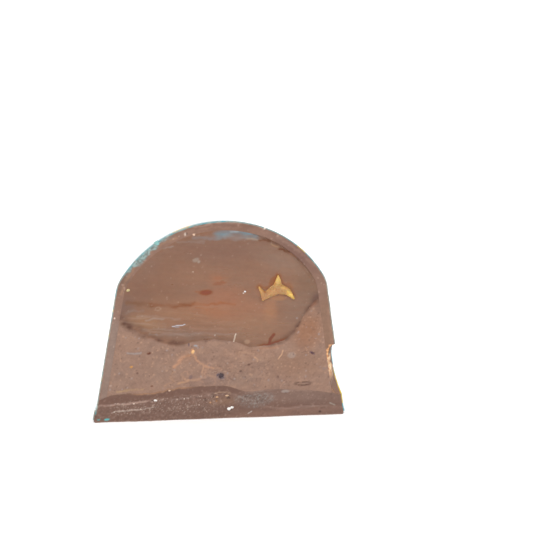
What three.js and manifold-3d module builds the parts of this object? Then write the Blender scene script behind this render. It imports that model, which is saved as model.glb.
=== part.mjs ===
// Cut half of a moulded chocolate praline, in millimetres, +Z up.
// A domed milk-chocolate shell wears a thin skin of coloured cocoa butter. Inside it lie soft
// caramel, with one pale candied splinter in it, and hazelnut praline, closed below by a thick
// chocolate base. The cut face looks along -Y.

import * as THREE from 'three';
import { mergeVertices } from 'three/addons/utils/BufferGeometryUtils.js';
import Module from 'manifold-3d';

const wasm = await Module();
wasm.setup();

// Mould: a steep cone under a spherical cap, meeting in a softened shoulder
const footRadius = 14.6;
const domeHeight = 23.5;
const shoulderRadius = 12.1;
const shoulderHeight = 16.1;
const shoulderSoftness = 0.25;
const shoulderSpread = 0.06;

// The knife passed this far behind the dome's axis, so a little less than half is left
const cutOffset = 1.6;

// Thickness of the layers, and the play left between two of them
const skinThickness = 0.13;
const wallThickness = 0.93;
const wallShift = -0.1;
const layerPlay = 0.02;

// How finely the round and the cut surfaces are faceted
const roundSegments = 72;
const capSteps = 13;
const cutStep = 1.15;
const baseCutStep = 0.9;
const layerStepAlong = 0.9;
const layerStepBehind = 3;
// How far a cutting block reaches past what it cuts
const cutMargin = 2;

// The skin stops short of the ground, and the foot swells into a lip on the left
const skinFoot = 0.35;
const lipReach = 0.2;
const lipHeight = 1.6;
const lipFull = 1.3;
const footChamfer = 0.2;

// Heights of the layers along the cut, as [distance from the axis, height]
const pralineTop = [
	[ - 14.6, 13.4 ], [ - 12.0, 12.4 ], [ - 10.2, 11.1 ], [ - 7.0, 9.5 ], [ - 5.0, 9.0 ],
	[ - 0.7, 9.5 ], [ 1.6, 9.0 ], [ 3.6, 8.4 ], [ 6.7, 8.95 ], [ 8.2, 10.1 ],
	[ 9.6, 12.2 ], [ 11.0, 13.9 ], [ 14.6, 15.0 ],
];
const baseTop = [
	[ - 14.6, 2.4 ], [ - 12.2, 3.2 ], [ - 8.0, 3.35 ], [ - 5.3, 3.75 ], [ 0.5, 3.85 ],
	[ 2.9, 3.1 ], [ 5.9, 3.3 ], [ 10.7, 2.95 ], [ 14.6, 2.3 ],
];
// The knife's drag mark across the base: the face stands proud below this line
const dragLine = [
	[ - 14.6, 1.9 ], [ - 9.0, 2.25 ], [ - 2.3, 2.7 ], [ 0.5, 2.9 ],
	[ 3.2, 2.2 ], [ 6.1, 1.0 ], [ 11.3, 1.15 ], [ 14.6, 0.7 ],
];
const dragStep = 0.2;
const dragBlur = 0.4;

// Long waves left by the knife, as [height, waves along x, waves along z, start]
const knifeRipples = [ [ 0.03, 0.9, 0.4, 0 ], [ 0.025, - 0.5, 1.7, 1 ] ];

// How far each filling lies behind the cut edge of the shell
const caramelSet = 0.05;
const pralineSet = 0.08;
const baseSet = 0.06;

// The caramel sinks away under the dome, and in a crease along the praline
const domeMiddle = 11;
const domeHalfWidth = 11.8;
const domeHalfHeight = 11.9;
const sunkDepth = 0.3;
const sunkFrom = 0.72;
const sunkHeights = [ 12, 20 ];
const creaseDepth = 0.12;
const creaseWidth = 1.5;

// Crags of the praline, as a height and its waves along x and z
const cragHeight = 0.05;
const cragWaves = new THREE.Vector2( 3.1, 2.7 );

// Candied splinter: tapering limbs that run from one knot to the next, as [x, z, radius]
const splinterKnots = {
	body: [ 6.35, 15.35, 0.68 ],
	top: [ 6.38, 16.8, 0.11 ],
	shoulder: [ 7.4, 14.98, 0.44 ],
	hand: [ 8.16, 14.16, 0.17 ],
	elbow: [ 4.85, 14.5, 0.42 ],
	heel: [ 4.64, 14.04, 0.1 ],
	whisker: [ 4.24, 15.52, 0.1 ],
};
const splinterLimbs = [
	[ 'body', 'top' ], [ 'body', 'shoulder' ], [ 'shoulder', 'hand' ],
	[ 'body', 'elbow' ], [ 'elbow', 'heel' ], [ 'elbow', 'whisker' ],
];
const splinterProud = 0.22;
const splinterDepth = 1.1;
const splinterCurveSteps = 4;

// Holes left by air in the praline, as [x, z, half width, half height, depth]
const airHoles = [
	[ 0.06, 5.05, 0.3, 0.32, 0.4 ], [ 9.53, 3.82, 0.85, 0.19, 0.2 ], [ 10.5, 7.45, 0.24, 0.18, 0.25 ],
];
const airHoleSegments = [ 10, 7 ];
const airHoleSet = 0.05;

// Splinter of shell broken off the right-hand edge, which leaves a slanting face
const chipCentre = new THREE.Vector3( 14.1, - 3.6, 6.4 );
const chipReach = new THREE.Vector3( 2.1, 6, 5.1 );
const chipRoughness = 0.08;
const chipWaves = new THREE.Vector2( 3.4, 2.6 );
const chipDetail = 7;
// The break ends in a step at this height, where the rock that shapes it is pressed flat
const chipTop = 8.3;
const chipTopPressed = 0.9;

const capRise = domeHeight - shoulderHeight;
const capRadius = ( shoulderRadius ** 2 + capRise ** 2 ) / ( 2 * capRise );
const capCentre = domeHeight - capRadius;
const wallSlope = ( footRadius - shoulderRadius ) / shoulderHeight;
const wallLean = Math.atan( wallSlope );

// Solids

function solidOf( geometry ) {

	const bare = geometry.clone();
	bare.deleteAttribute( 'normal' );
	bare.deleteAttribute( 'uv' );
	const merged = mergeVertices( bare, 1e-4 );
	return new wasm.Manifold( new wasm.Mesh( {
		numProp: 3,
		vertProperties: merged.attributes.position.array,
		triVerts: new Uint32Array( merged.index.array ),
	} ) );

}

function geometryOf( solid ) {

	const mesh = solid.getMesh();
	const geometry = new THREE.BufferGeometry();
	geometry.setAttribute( 'position', new THREE.BufferAttribute( mesh.vertProperties, 3 ) );
	geometry.setIndex( new THREE.BufferAttribute( mesh.triVerts, 1 ) );
	geometry.computeVertexNormals();
	return geometry;

}

function smoothStep( low, high, value ) {

	return THREE.MathUtils.smoothstep( value, low, high );

}

function smoothMin( a, b, softness ) {

	const share = THREE.MathUtils.clamp( 0.5 + 0.5 * ( b - a ) / softness, 0, 1 );
	return THREE.MathUtils.lerp( b, a, share ) - softness * share * ( 1 - share );

}

// A curve through points, read as the height at one distance from the axis
function curveThrough( points ) {

	const curve = new THREE.CubicInterpolant( points.map( ( p ) => p[ 0 ] ), points.map( ( p ) => p[ 1 ] ), 1 );
	const first = points[ 0 ][ 0 ];
	const last = points[ points.length - 1 ][ 0 ];
	return ( x ) => curve.evaluate( THREE.MathUtils.clamp( x, first, last ) )[ 0 ];

}

// The same curve carried round behind the cut, so that a layer lies level all round
function layerBehind( curve ) {

	return ( x, y ) => {

		const reach = Math.hypot( x, y );
		const side = reach > 0 ? 0.5 + 0.5 * x / reach : 0.5;
		return THREE.MathUtils.lerp( curve( - reach ), curve( reach ), smoothStep( 0, 1, side ) );

	};

}

// Radius of the straight wall at a height, a layer's inset within the mould
function wallRadius( z, inset ) {

	return footRadius - wallSlope * z - inset / Math.cos( wallLean );

}

function wallDistance( inset ) {

	return wallRadius( capCentre, inset ) * Math.cos( wallLean );

}

// Distance from the cap's centre to the mould, under an angle from straight up
function mouldReach( angle, inset ) {

	const wall = wallDistance( inset ) / Math.sin( angle + wallLean );
	return smoothMin( wall, capRadius - inset, shoulderSoftness );

}

// The foot's lip swells a surface outwards on the left, over the lowest part of the wall
function addLip( geometry ) {

	const position = geometry.attributes.position;

	for ( let i = 0; i < position.count; i ++ ) {

		const x = position.getX( i );
		const y = position.getY( i );
		const reach = Math.hypot( x, y );
		if ( reach < footRadius / 2 ) continue;
		const leftward = Math.max( 0, - x / reach ) ** 3;
		const fade = 1 - smoothStep( lipFull, lipHeight, position.getZ( i ) );
		const grown = 1 + lipReach * leftward * fade / reach;
		position.setXY( i, x * grown, y * grown );

	}

}

// The mould's inside, shrunk by an inset, standing on the ground with the cut at y = 0
function mouldBody( inset ) {

	const shoulder = Math.asin( wallDistance( inset ) / ( capRadius - inset ) ) - wallLean;
	const angles = [ shoulder + shoulderSpread, shoulder ];
	for ( let i = capSteps; i >= 0; i -- ) angles.push( ( shoulder - shoulderSpread ) * i / capSteps );
	const points = [ new THREE.Vector2( 0, 0 ), new THREE.Vector2( wallRadius( 0, inset ) - footChamfer, 0 ) ];

	for ( const z of [ footChamfer, lipFull, lipHeight ] ) {

		points.push( new THREE.Vector2( wallRadius( z, inset ), z ) );

	}

	for ( const angle of angles ) {

		const reach = mouldReach( angle, inset );
		points.push( new THREE.Vector2( reach * Math.sin( angle ), capCentre + reach * Math.cos( angle ) ) );

	}

	const lathe = new THREE.LatheGeometry( points, roundSegments ).rotateX( Math.PI / 2 );
	addLip( lathe );
	return solidOf( lathe ).translate( [ 0, - cutOffset, 0 ] );

}

// A block whose top is a relief over the ground, wide enough for the whole praline
function reliefBlock( heightAt, stepAlong, stepAcross, depth ) {

	const width = 2 * ( footRadius + cutMargin );
	const stepsAlong = Math.ceil( width / stepAlong );
	const stepsAcross = Math.ceil( width / stepAcross );
	const block = new THREE.BoxGeometry( width, width, depth, stepsAlong, stepsAcross, 1 );
	const position = block.attributes.position;

	for ( let i = 0; i < position.count; i ++ ) {

		const isTop = position.getZ( i ) > 0;
		position.setZ( i, isTop ? heightAt( position.getX( i ), position.getY( i ) ) : - depth );

	}

	return solidOf( block );

}

// What lies behind the cut face, whose relief is a depth into the praline at each x and z
function behindCut( depthAt, step = cutStep ) {

	const middle = domeHeight / 2;
	const block = reliefBlock( ( x, z ) => - depthAt( x, z + middle ), step, step, footRadius + cutMargin );
	return block.rotate( [ 90, 0, 0 ] ).translate( [ 0, 0, middle ] );

}

function below( heightAt ) {

	return reliefBlock( heightAt, layerStepAlong, layerStepBehind, cutMargin );

}

// Relief of the cut face

const pralineCurve = curveThrough( pralineTop );
const baseCurve = curveThrough( baseTop );
const dragCurve = curveThrough( dragLine );

function knifeWaves( x, z ) {

	let depth = 0;

	for ( const [ height, alongX, alongZ, start ] of knifeRipples ) {

		depth += height * Math.sin( alongX * x + alongZ * z + start );

	}

	return depth;

}

function shellDepth( x, z ) {

	return knifeWaves( x, z );

}

function caramelDepth( x, z ) {

	const underDome = Math.hypot( x / domeHalfWidth, ( z - domeMiddle ) / domeHalfHeight );
	const sunkRim = sunkDepth * smoothStep( sunkFrom, 1, underDome ) * smoothStep( ...sunkHeights, z );
	const crease = creaseDepth * ( 1 - smoothStep( 0, creaseWidth, z - pralineCurve( x ) ) );
	return caramelSet + sunkRim + crease + knifeWaves( x, z );

}

function pralineDepth( x, z ) {

	const crags = cragHeight * Math.sin( cragWaves.x * x ) * Math.sin( cragWaves.y * z + 1 );
	return pralineSet + crags + knifeWaves( x, z );

}

function baseDepth( x, z ) {

	const underLine = 1 - smoothStep( - dragBlur / 2, dragBlur / 2, z - dragCurve( x ) );
	return baseSet - dragStep * underLine + knifeWaves( x, z ) / 2;

}

// Layers

const outside = mouldBody( 0 );
const underSkin = mouldBody( skinThickness );
const shellOutside = mouldBody( skinThickness + layerPlay );
const cavity = mouldBody( skinThickness + wallThickness ).translate( [ wallShift, 0, 0 ] );
const filling = mouldBody( skinThickness + wallThickness + layerPlay ).translate( [ wallShift, 0, 0 ] );

const pralineHeight = layerBehind( pralineCurve );
const baseHeight = layerBehind( baseCurve );

function raised( heightAt, by ) {

	return ( x, y ) => heightAt( x, y ) + by;

}

function chip() {

	const rock = new THREE.IcosahedronGeometry( 1, chipDetail );
	const position = rock.attributes.position;

	for ( let i = 0; i < position.count; i ++ ) {

		const corner = new THREE.Vector3().fromBufferAttribute( position, i );
		corner.multiply( chipReach ).add( chipCentre );
		const wave = Math.sin( chipWaves.x * corner.z ) * Math.cos( chipWaves.y * corner.y + corner.z );
		const overTop = Math.max( 0, corner.z - chipTop );
		position.setXYZ( i, corner.x + chipRoughness * wave, corner.y, corner.z - chipTopPressed * overTop );

	}

	return solidOf( rock );

}

// Two round knots joined by their common tangents
function limbShape( [ fromX, fromZ, fromRadius ], [ toX, toZ, toRadius ], grown ) {

	const along = new THREE.Vector2( toX - fromX, toZ - fromZ );
	const heading = along.angle();
	const spread = Math.acos( ( fromRadius - toRadius ) / along.length() );
	const shape = new THREE.Shape();
	shape.absarc( fromX, fromZ, fromRadius + grown, heading + spread, heading - spread + 2 * Math.PI );
	shape.absarc( toX, toZ, toRadius + grown, heading - spread, heading + spread );
	return shape;

}

function splinter( grown ) {

	const depth = splinterDepth + grown;
	const solids = splinterLimbs.map( ( [ from, to ] ) => {

		const shape = limbShape( splinterKnots[ from ], splinterKnots[ to ], grown );
		return solidOf( new THREE.ExtrudeGeometry( shape, {
			depth: depth + splinterProud, bevelEnabled: false, curveSegments: splinterCurveSteps,
		} ) );

	} );
	const joined = solids.reduce( ( a, b ) => a.add( b ) );
	return joined.rotate( [ 90, 0, 0 ] ).translate( [ 0, depth, 0 ] );

}

function airHole( [ x, z, halfWidth, halfHeight, depth ] ) {

	const hole = new THREE.SphereGeometry( 1, ...airHoleSegments );
	return solidOf( hole.scale( halfWidth, depth, halfHeight ).translate( x, airHoleSet, z ) );

}

const broken = chip();

function colouredSkin() {

	return outside.subtract( underSkin )
		.subtract( below( () => skinFoot ) )
		.intersect( behindCut( shellDepth ) )
		.subtract( broken );

}

function chocolateShell() {

	return shellOutside.subtract( cavity )
		.subtract( below( raised( baseHeight, layerPlay ) ) )
		.intersect( behindCut( shellDepth ) )
		.subtract( broken );

}

function caramel() {

	return filling.subtract( below( raised( pralineHeight, layerPlay ) ) )
		.intersect( behindCut( caramelDepth ) )
		.subtract( splinter( 2 * layerPlay ) );

}

function praline() {

	const holes = airHoles.map( airHole );
	const layer = filling.intersect( below( pralineHeight ) )
		.subtract( below( raised( baseHeight, layerPlay ) ) )
		.intersect( behindCut( pralineDepth ) );
	return holes.reduce( ( solid, hole ) => solid.subtract( hole ), layer );

}

function chocolateBase() {

	return shellOutside.intersect( below( baseHeight ) )
		.intersect( behindCut( baseDepth, baseCutStep ) )
		.subtract( broken );

}

// Finishes

const finishes = {
	skin: new THREE.MeshStandardMaterial( { color: '#63b3bf', roughness: 0.15, metalness: 0 } ),
	chocolate: new THREE.MeshStandardMaterial( { color: '#8a6452', roughness: 0.6, metalness: 0 } ),
	caramel: new THREE.MeshStandardMaterial( { color: '#8f6548', roughness: 0.35, metalness: 0 } ),
	praline: new THREE.MeshStandardMaterial( { color: '#97725c', roughness: 0.8, metalness: 0 } ),
	candied: new THREE.MeshStandardMaterial( { color: '#d0a24e', roughness: 0.4, metalness: 0 } ),
};

// The group's origin is under the middle of its overall box
const half = new THREE.Group();
half.position.set( lipReach / 2, ( splinterProud + cutOffset - footRadius ) / 2, 0 );

function addPiece( name, solid, finish ) {

	const piece = new THREE.Mesh( geometryOf( solid ), finishes[ finish ] );
	piece.name = name;
	half.add( piece );

}

addPiece( 'coloured_skin', colouredSkin(), 'skin' );
addPiece( 'chocolate_shell', chocolateShell(), 'chocolate' );
addPiece( 'caramel_filling', caramel(), 'caramel' );
addPiece( 'praline_filling', praline(), 'praline' );
addPiece( 'chocolate_base', chocolateBase(), 'chocolate' );
addPiece( 'candied_splinter', splinter( 0 ), 'candied' );

export default half;
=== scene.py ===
import math

import bpy
import numpy as np
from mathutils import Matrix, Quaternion, Vector


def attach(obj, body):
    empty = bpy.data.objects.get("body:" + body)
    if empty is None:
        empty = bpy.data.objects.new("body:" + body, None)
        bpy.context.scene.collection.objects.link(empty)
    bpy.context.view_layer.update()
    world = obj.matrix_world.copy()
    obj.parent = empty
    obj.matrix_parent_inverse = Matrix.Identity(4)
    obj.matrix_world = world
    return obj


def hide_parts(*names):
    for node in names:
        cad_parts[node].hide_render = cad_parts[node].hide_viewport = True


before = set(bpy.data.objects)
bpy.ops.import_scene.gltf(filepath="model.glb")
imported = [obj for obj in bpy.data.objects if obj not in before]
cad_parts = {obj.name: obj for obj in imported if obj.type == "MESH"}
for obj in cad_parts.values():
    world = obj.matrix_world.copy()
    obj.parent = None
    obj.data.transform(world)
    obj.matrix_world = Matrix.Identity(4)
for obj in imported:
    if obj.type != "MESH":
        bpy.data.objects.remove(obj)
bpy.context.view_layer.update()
mm = 0.001

# shapes are drawn in millimetres around the middle of the cut's foot, x along the cut, y behind it
cutMiddle = Vector((0.1, -6.39, 0.0)) * mm


# Helpers for shapes and colours

def tone(red, green, blue):
    # a colour as seen on a screen, 0 to 255, made linear
    shown = np.array([red, green, blue]) / 255
    return np.where(shown <= 0.04045, shown / 12.92, ((shown + 0.055) / 1.055) ** 2.4)


def bareTone(seen):
    # the tone a surface needs under the studio's light, which also lays a pale sheen over it
    return np.clip((seen - studio["sheen"]) / studio["exposure"], studio["darkest"], 1)


def ramp(low, high, value):
    # eases from 0 at low to 1 at high, and falls where low is the larger
    t = np.clip((value - low) / (high - low), 0, 1)
    return t * t * (3 - 2 * t)


def hump(value, middle, width):
    return np.exp(-((value - middle) / width) ** 2)


def lumps(x, z, size, seed):
    # smooth random heights from -1 to 1, in lumps of a size along x and along z
    cells = 128
    heights = np.random.default_rng(seed).uniform(-1, 1, (cells, cells))
    u, v = x / size[0] + cells / 2, z / size[1] + cells / 2
    column, row = np.floor(u).astype(int), np.floor(v).astype(int)
    s, t = ramp(0, 1, u - column), ramp(0, 1, v - row)

    def corner(right, up):
        return heights[(column + right) % cells, (row + up) % cells]

    low = corner(0, 0) * (1 - s) + corner(1, 0) * s
    high = corner(0, 1) * (1 - s) + corner(1, 1) * s
    return low * (1 - t) + high * t


def grain(x, z, size, seed, fineness=3):
    total = 0
    for k in range(fineness):
        total = total + lumps(x, z, (size[0] / 2 ** k, size[1] / 2 ** k), seed + k) / 2 ** k
    return total


def curveThrough(points):
    # a smooth curve through points, from a place along the cut to a height
    xs, zs = np.array(points, float).T
    slopes = np.gradient(zs, xs)
    slopes[1:-1] = (zs[2:] - zs[:-2]) / (xs[2:] - xs[:-2])

    def heightAt(x):
        x = np.clip(x, xs[0], xs[-1])
        i = np.clip(np.searchsorted(xs, x) - 1, 0, len(xs) - 2)
        span = xs[i + 1] - xs[i]
        t = (x - xs[i]) / span
        start = (1 + 2 * t) * (1 - t) ** 2 * zs[i] + t * (1 - t) ** 2 * span * slopes[i]
        end = t * t * (3 - 2 * t) * zs[i + 1] + t * t * (t - 1) * span * slopes[i + 1]
        return start + end

    return heightAt


def besideLine(x, z, start, end):
    # how far along a straight line each place lies, from 0 to 1, and how far from it
    dx, dz = end[0] - start[0], end[1] - start[1]
    along = np.clip(((x - start[0]) * dx + (z - start[1]) * dz) / (dx * dx + dz * dz), 0, 1)
    return along, np.hypot(x - start[0] - along * dx, z - start[1] - along * dz)


def strokeReach(x, z, points):
    # how far each place lies from a bent line
    nearest = np.full(x.shape, np.inf)
    for start, end in zip(points, points[1:]):
        nearest = np.minimum(nearest, besideLine(x, z, start, end)[1])
    return nearest


def spotReach(x, z, at, size, turn=0):
    # 0 in the middle of an oval spot and 1 at its edge
    c, s = math.cos(math.radians(turn)), math.sin(math.radians(turn))
    u = ((x - at[0]) * c + (z - at[1]) * s) / size[0]
    v = ((z - at[1]) * c - (x - at[0]) * s) / size[1]
    return np.hypot(u, v)


# Helpers for objects

def deselectAll():
    if bpy.context.mode != "OBJECT":
        bpy.ops.object.mode_set(mode="OBJECT")
    bpy.ops.object.select_all(action="DESELECT")


def pick(piece):
    deselectAll()
    piece.select_set(True)
    bpy.context.view_layer.objects.active = piece


def cornersOf(piece):
    places = np.empty(len(piece.data.vertices) * 3)
    piece.data.vertices.foreach_get("co", places)
    return places.reshape(-1, 3)


def moveCorners(piece, places):
    piece.data.vertices.foreach_set("co", places.ravel())
    piece.data.update()


def copyOf(piece, name):
    twin = piece.copy()
    twin.data = piece.data.copy()
    twin.name = name
    bpy.context.collection.objects.link(twin)
    return twin


def joined(parts, name):
    deselectAll()
    for part in parts:
        part.select_set(True)
    bpy.context.view_layer.objects.active = parts[0]
    bpy.ops.object.join()
    parts[0].name = name
    return parts[0]


def changeShape(piece, kind, **settings):
    change = piece.modifiers.new(kind.lower(), kind)
    for name, value in settings.items():
        setattr(change, name, value)
    bpy.ops.object.modifier_apply(modifier=change.name)


def carve(piece, tool, how, keepTool=True):
    pick(piece)
    changeShape(piece, "BOOLEAN", solver="MANIFOLD", operation=how, object=tool)
    if not keepTool:
        discard(tool)
    return piece


def discard(*tools):
    for tool in tools:
        bpy.data.meshes.remove(tool.data)


# Mould: a steep cone under a spherical cap

mould = {
    "footRadius": 14.6,
    "domeHeight": 23.5,
    "shoulderRadius": 12.1,
    "shoulderHeight": 16.1,
    "shoulderSoftness": 0.25,
    "shoulderSpread": 0.06,
    "shoulderSteps": 6,
    "capBelow": 4,             # how far under the shoulder the cap still counts
    "cutOffset": 1.6,          # how far the knife passed behind the axis of the dome
    "skin": 0.13,
    "wall": 0.93,
    "wallShift": -0.1,
    "skinFoot": 0.35,
    "lipReach": 0.2,
    "lipHeight": 1.6,
    "lipFull": 1.3,
    "lipSteps": 6,
    "lipTaper": 3,
    "footChamfer": 0.2,
    "weld": 0.002,
}
capRise = mould["domeHeight"] - mould["shoulderHeight"]
capRadius = (mould["shoulderRadius"] ** 2 + capRise ** 2) / (2 * capRise)
capCentre = mould["domeHeight"] - capRadius
wallSlope = (mould["footRadius"] - mould["shoulderRadius"]) / mould["shoulderHeight"]
wallLean = math.atan(wallSlope)


def wallRadius(z, inset=0):
    return mould["footRadius"] - wallSlope * z - inset / math.cos(wallLean)


def mouldProfile(inset, capSteps, wallSteps):
    # radius and height from the top of the dome down to the ground
    soft = mould["shoulderSoftness"]
    spread = mould["shoulderSpread"]
    distance = wallRadius(capCentre, inset) * math.cos(wallLean)
    cap = capRadius - inset
    shoulder = math.asin(distance / cap) - wallLean
    overCap = np.linspace(0, shoulder - spread, capSteps + 1)
    overShoulder = np.linspace(shoulder - spread, shoulder + spread, mould["shoulderSteps"] + 1)
    profile = []
    for angle in [*overCap, *overShoulder[1:]]:
        wall = distance / math.sin(angle + wallLean)
        share = min(max(0.5 + 0.5 * (cap - wall) / soft, 0), 1)
        reach = cap + (wall - cap) * share - soft * share * (1 - share)
        profile.append((reach * math.sin(angle), capCentre + reach * math.cos(angle)))
    for z in np.linspace(profile[-1][1], mould["lipHeight"], wallSteps + 1)[1:]:
        profile.append((wallRadius(z, inset), z))
    for z in np.linspace(mould["lipHeight"], mould["footChamfer"], mould["lipSteps"] + 1)[1:]:
        profile.append((wallRadius(z, inset), z))
    profile.append((wallRadius(0, inset) - mould["footChamfer"], 0))
    profile.append((0, 0))
    return profile


def turnedBody(name, inset, capSteps, wallSteps, rounds, shift=0):
    deselectAll()
    bpy.ops.mesh.primitive_plane_add(size=mm)
    body = bpy.context.object
    body.name = name
    bpy.ops.object.mode_set(mode="EDIT")
    bpy.ops.mesh.select_mode(type="VERT")
    bpy.ops.mesh.merge(type="CENTER")
    profile = mouldProfile(inset, capSteps, wallSteps)
    bpy.ops.transform.translate(value=(0, 0, profile[0][1] * mm))
    for (r0, z0), (r1, z1) in zip(profile, profile[1:]):
        step = ((r1 - r0) * mm, 0, (z1 - z0) * mm)
        bpy.ops.mesh.extrude_region_move(TRANSFORM_OT_translate={"value": step})
    bpy.ops.mesh.select_all(action="SELECT")
    bpy.ops.mesh.spin(steps=rounds, angle=2 * math.pi, center=(0, 0, 0), axis=(0, 0, 1))
    bpy.ops.mesh.select_all(action="SELECT")
    bpy.ops.mesh.remove_doubles(threshold=mould["weld"] * mm)
    bpy.ops.mesh.normals_make_consistent(inside=False)
    bpy.ops.object.mode_set(mode="OBJECT")
    places = cornersOf(body) / mm
    reach = np.hypot(places[:, 0], places[:, 1])
    leftward = np.clip(-places[:, 0] / np.maximum(reach, 1), 0, 1) ** mould["lipTaper"]
    fade = 1 - ramp(mould["lipFull"], mould["lipHeight"], places[:, 2])
    grown = 1 + (reach > mould["footRadius"] / 2) * mould["lipReach"] * leftward * fade / np.maximum(reach, 1)
    places[:, :2] *= grown[:, None]
    moveCorners(body, (places + (shift, -mould["cutOffset"], 0)) * mm)
    return body


def insetAt(x, z):
    # how deep a place in the cut lies under the outside of the mould
    fromAxis = np.hypot(x, mould["cutOffset"])
    capInset = capRadius - np.hypot(fromAxis, z - capCentre)
    wallInset = (wallRadius(z) - fromAxis) * math.cos(wallLean)
    nearCap = z > mould["shoulderHeight"] - mould["capBelow"]
    return np.where(nearCap, np.minimum(capInset, wallInset), wallInset)


def reliefBlock(name, size, middle, cells, heightAt, depth):
    # a grid with a relief on top, drawn down to a flat underside
    deselectAll()
    bpy.ops.mesh.primitive_grid_add(x_subdivisions=cells[0], y_subdivisions=cells[1], size=1)
    block = bpy.context.object
    block.name = name
    places = cornersOf(block)
    x = places[:, 0] * size[0] + middle[0]
    y = places[:, 1] * size[1] + middle[1]
    moveCorners(block, np.column_stack([x, y, heightAt(x, y)]) * mm)
    bpy.ops.object.mode_set(mode="EDIT")
    bpy.ops.mesh.select_mode(type="EDGE")
    bpy.ops.mesh.select_all(action="DESELECT")
    bpy.ops.mesh.select_non_manifold()
    bpy.ops.mesh.extrude_region_move(TRANSFORM_OT_translate={"value": (0, 0, -depth * mm)})
    bpy.ops.transform.resize(value=(1, 1, 0), center_override=(0, 0, -depth * mm))
    bpy.ops.mesh.edge_face_add()
    bpy.ops.mesh.select_all(action="SELECT")
    bpy.ops.mesh.normals_make_consistent(inside=False)
    bpy.ops.object.mode_set(mode="OBJECT")
    return block


# Layers

layers = {
    "pralineTop": [
        (-14.6, 13.4), (-12.0, 12.4), (-10.2, 11.1), (-7.0, 9.5), (-5.0, 9.0), (-0.7, 9.5), (1.6, 9.0),
        (3.6, 8.4), (6.7, 8.95), (8.2, 10.1), (9.6, 12.2), (11.0, 13.9), (14.6, 15.0),
    ],
    "baseTop": [
        (-14.6, 2.4), (-12.2, 3.2), (-8.0, 3.35), (-5.3, 3.75), (0.5, 3.85), (2.9, 3.1), (5.9, 3.3),
        (10.7, 2.95), (14.6, 2.3),
    ],
    "dragLine": [
        (-14.6, 1.9), (-9.0, 2.25), (-2.3, 2.7), (0.5, 2.9), (3.2, 2.2), (6.1, 1.0), (11.3, 1.15),
        (14.6, 0.7),
    ],
    "pralineWobble": 0.1,
    "baseWobble": 0.05,
    "baseJagged": 0.06,          # and how much more on the left
    "blockSize": (33, 33),
    "blockCells": (220, 40),
    "blockDepth": 2,
    "cutBlock": (31, 25.2, 20),
    "cutBlockBelow": 0.6,
    "cutCell": 0.09,
}
pralineCurve = curveThrough(layers["pralineTop"])
baseCurve = curveThrough(layers["baseTop"])
dragCurve = curveThrough(layers["dragLine"])


def pralineLine(x):
    return pralineCurve(x) + layers["pralineWobble"] * grain(x, 0 * x, (1.1, 1), 11, 4)


def baseLine(x):
    jagged = layers["baseWobble"] + layers["baseJagged"] * ramp(-10, -8, x) * ramp(-3, -5, x)
    return baseCurve(x) + jagged * grain(x, 0 * x, (0.6, 1), 12)


def layerBehind(lineAt):
    def heightAt(x, y):
        reach = np.hypot(x, y)
        side = ramp(0, 1, 0.5 + 0.5 * x / np.maximum(reach, 1e-6))
        return lineAt(-reach) * (1 - side) + lineAt(reach) * side
    return heightAt


def layerBlock(name, heightAt, cells):
    return reliefBlock(name, layers["blockSize"], (0, 0), cells, heightAt, layers["blockDepth"])


# Candied splinter: tapering limbs from one knot to the next, as (x, z, radius)

splinterForm = {
    "knots": {
        "body": (6.35, 15.35, 0.68),
        "top": (6.38, 16.8, 0.11),
        "shoulder": (7.4, 14.98, 0.44),
        "hand": (8.16, 14.16, 0.17),
        "elbow": (4.85, 14.5, 0.42),
        "heel": (4.64, 14.04, 0.13),
        "whisker": (4.24, 15.52, 0.12),
    },
    "limbs": [
        ("body", "top"), ("body", "shoulder"), ("shoulder", "hand"),
        ("body", "elbow"), ("elbow", "heel"), ("elbow", "whisker"),
    ],
    "voxel": 0.045,
    "proud": 0.14,
    "deep": 1.1,
    "rounding": 0.4,
    "unevenness": 0.25,
    "roughness": 0.03,
}


def splinterReach(x, z):
    # how far outside the splinter's outline a place lies
    nearest = np.full(x.shape, np.inf)
    for first, last in splinterForm["limbs"]:
        (x0, z0, r0), (x1, z1, r1) = splinterForm["knots"][first], splinterForm["knots"][last]
        along, reach = besideLine(x, z, (x0, z0), (x1, z1))
        nearest = np.minimum(nearest, reach - r0 - along * (r1 - r0))
    return nearest


# Relief of the cut face, as a depth behind the plane of the cut

cutFace = {
    # raised edges of cracks, as height, half width and line
    "ridges": [
        (0.05, 0.13, [(-3.23, 8.08), (-4.77, 7.32), (-5.53, 6.14)]),
        (0.05, 0.13, [(-3.15, 7.9), (-2.75, 7.0), (-2.05, 6.42), (-0.88, 5.87), (0.5, 5.7)]),
        (0.05, 0.13, [(-2.55, 6.75), (-2.35, 5.9), (-2.1, 4.9)]),
        (0.05, 0.13, [(-4.6, 5.2), (-4.1, 4.6), (-3.3, 4.5), (-2.5, 4.75), (-1.6, 4.9)]),
        (0.03, 0.08, [(2.8, 7.75), (3.77, 7.24), (4.2, 6.9), (4.18, 6.62)]),
        (0.03, 0.08, [(7.08, 7.94), (7.0, 7.4), (6.6, 6.9)]),
    ],
    # place, half size, depth
    "airHoles": [
        ((0.07, 5.03), (0.3, 0.36), 0.35),
        ((9.53, 3.82), (0.85, 0.2), 0.1),
        ((10.62, 7.42), (0.22, 0.16), 0.15),
    ],
    "roughPatch": ((3.9, 2.15), (2.4, 0.95)),
    "tornRim": 0.22,
    "rimDepth": 0.07,
    "sunk": 0.2,
    "crease": 0.05,
    "groove": 0.06,
    "smear": 0.08,
    "besideSplinter": 0.04,
    "pralineDepth": 0.06,
    "pits": 0.07,
    "baseDepth": 0.06,
    "baseProud": 0.2,
    "patchDepth": 0.08,
}


def knifeWaves(x, z):
    return 0.03 * np.sin(0.9 * x + 0.4 * z) + 0.025 * np.sin(1.7 * z - 0.5 * x + 1)


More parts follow.
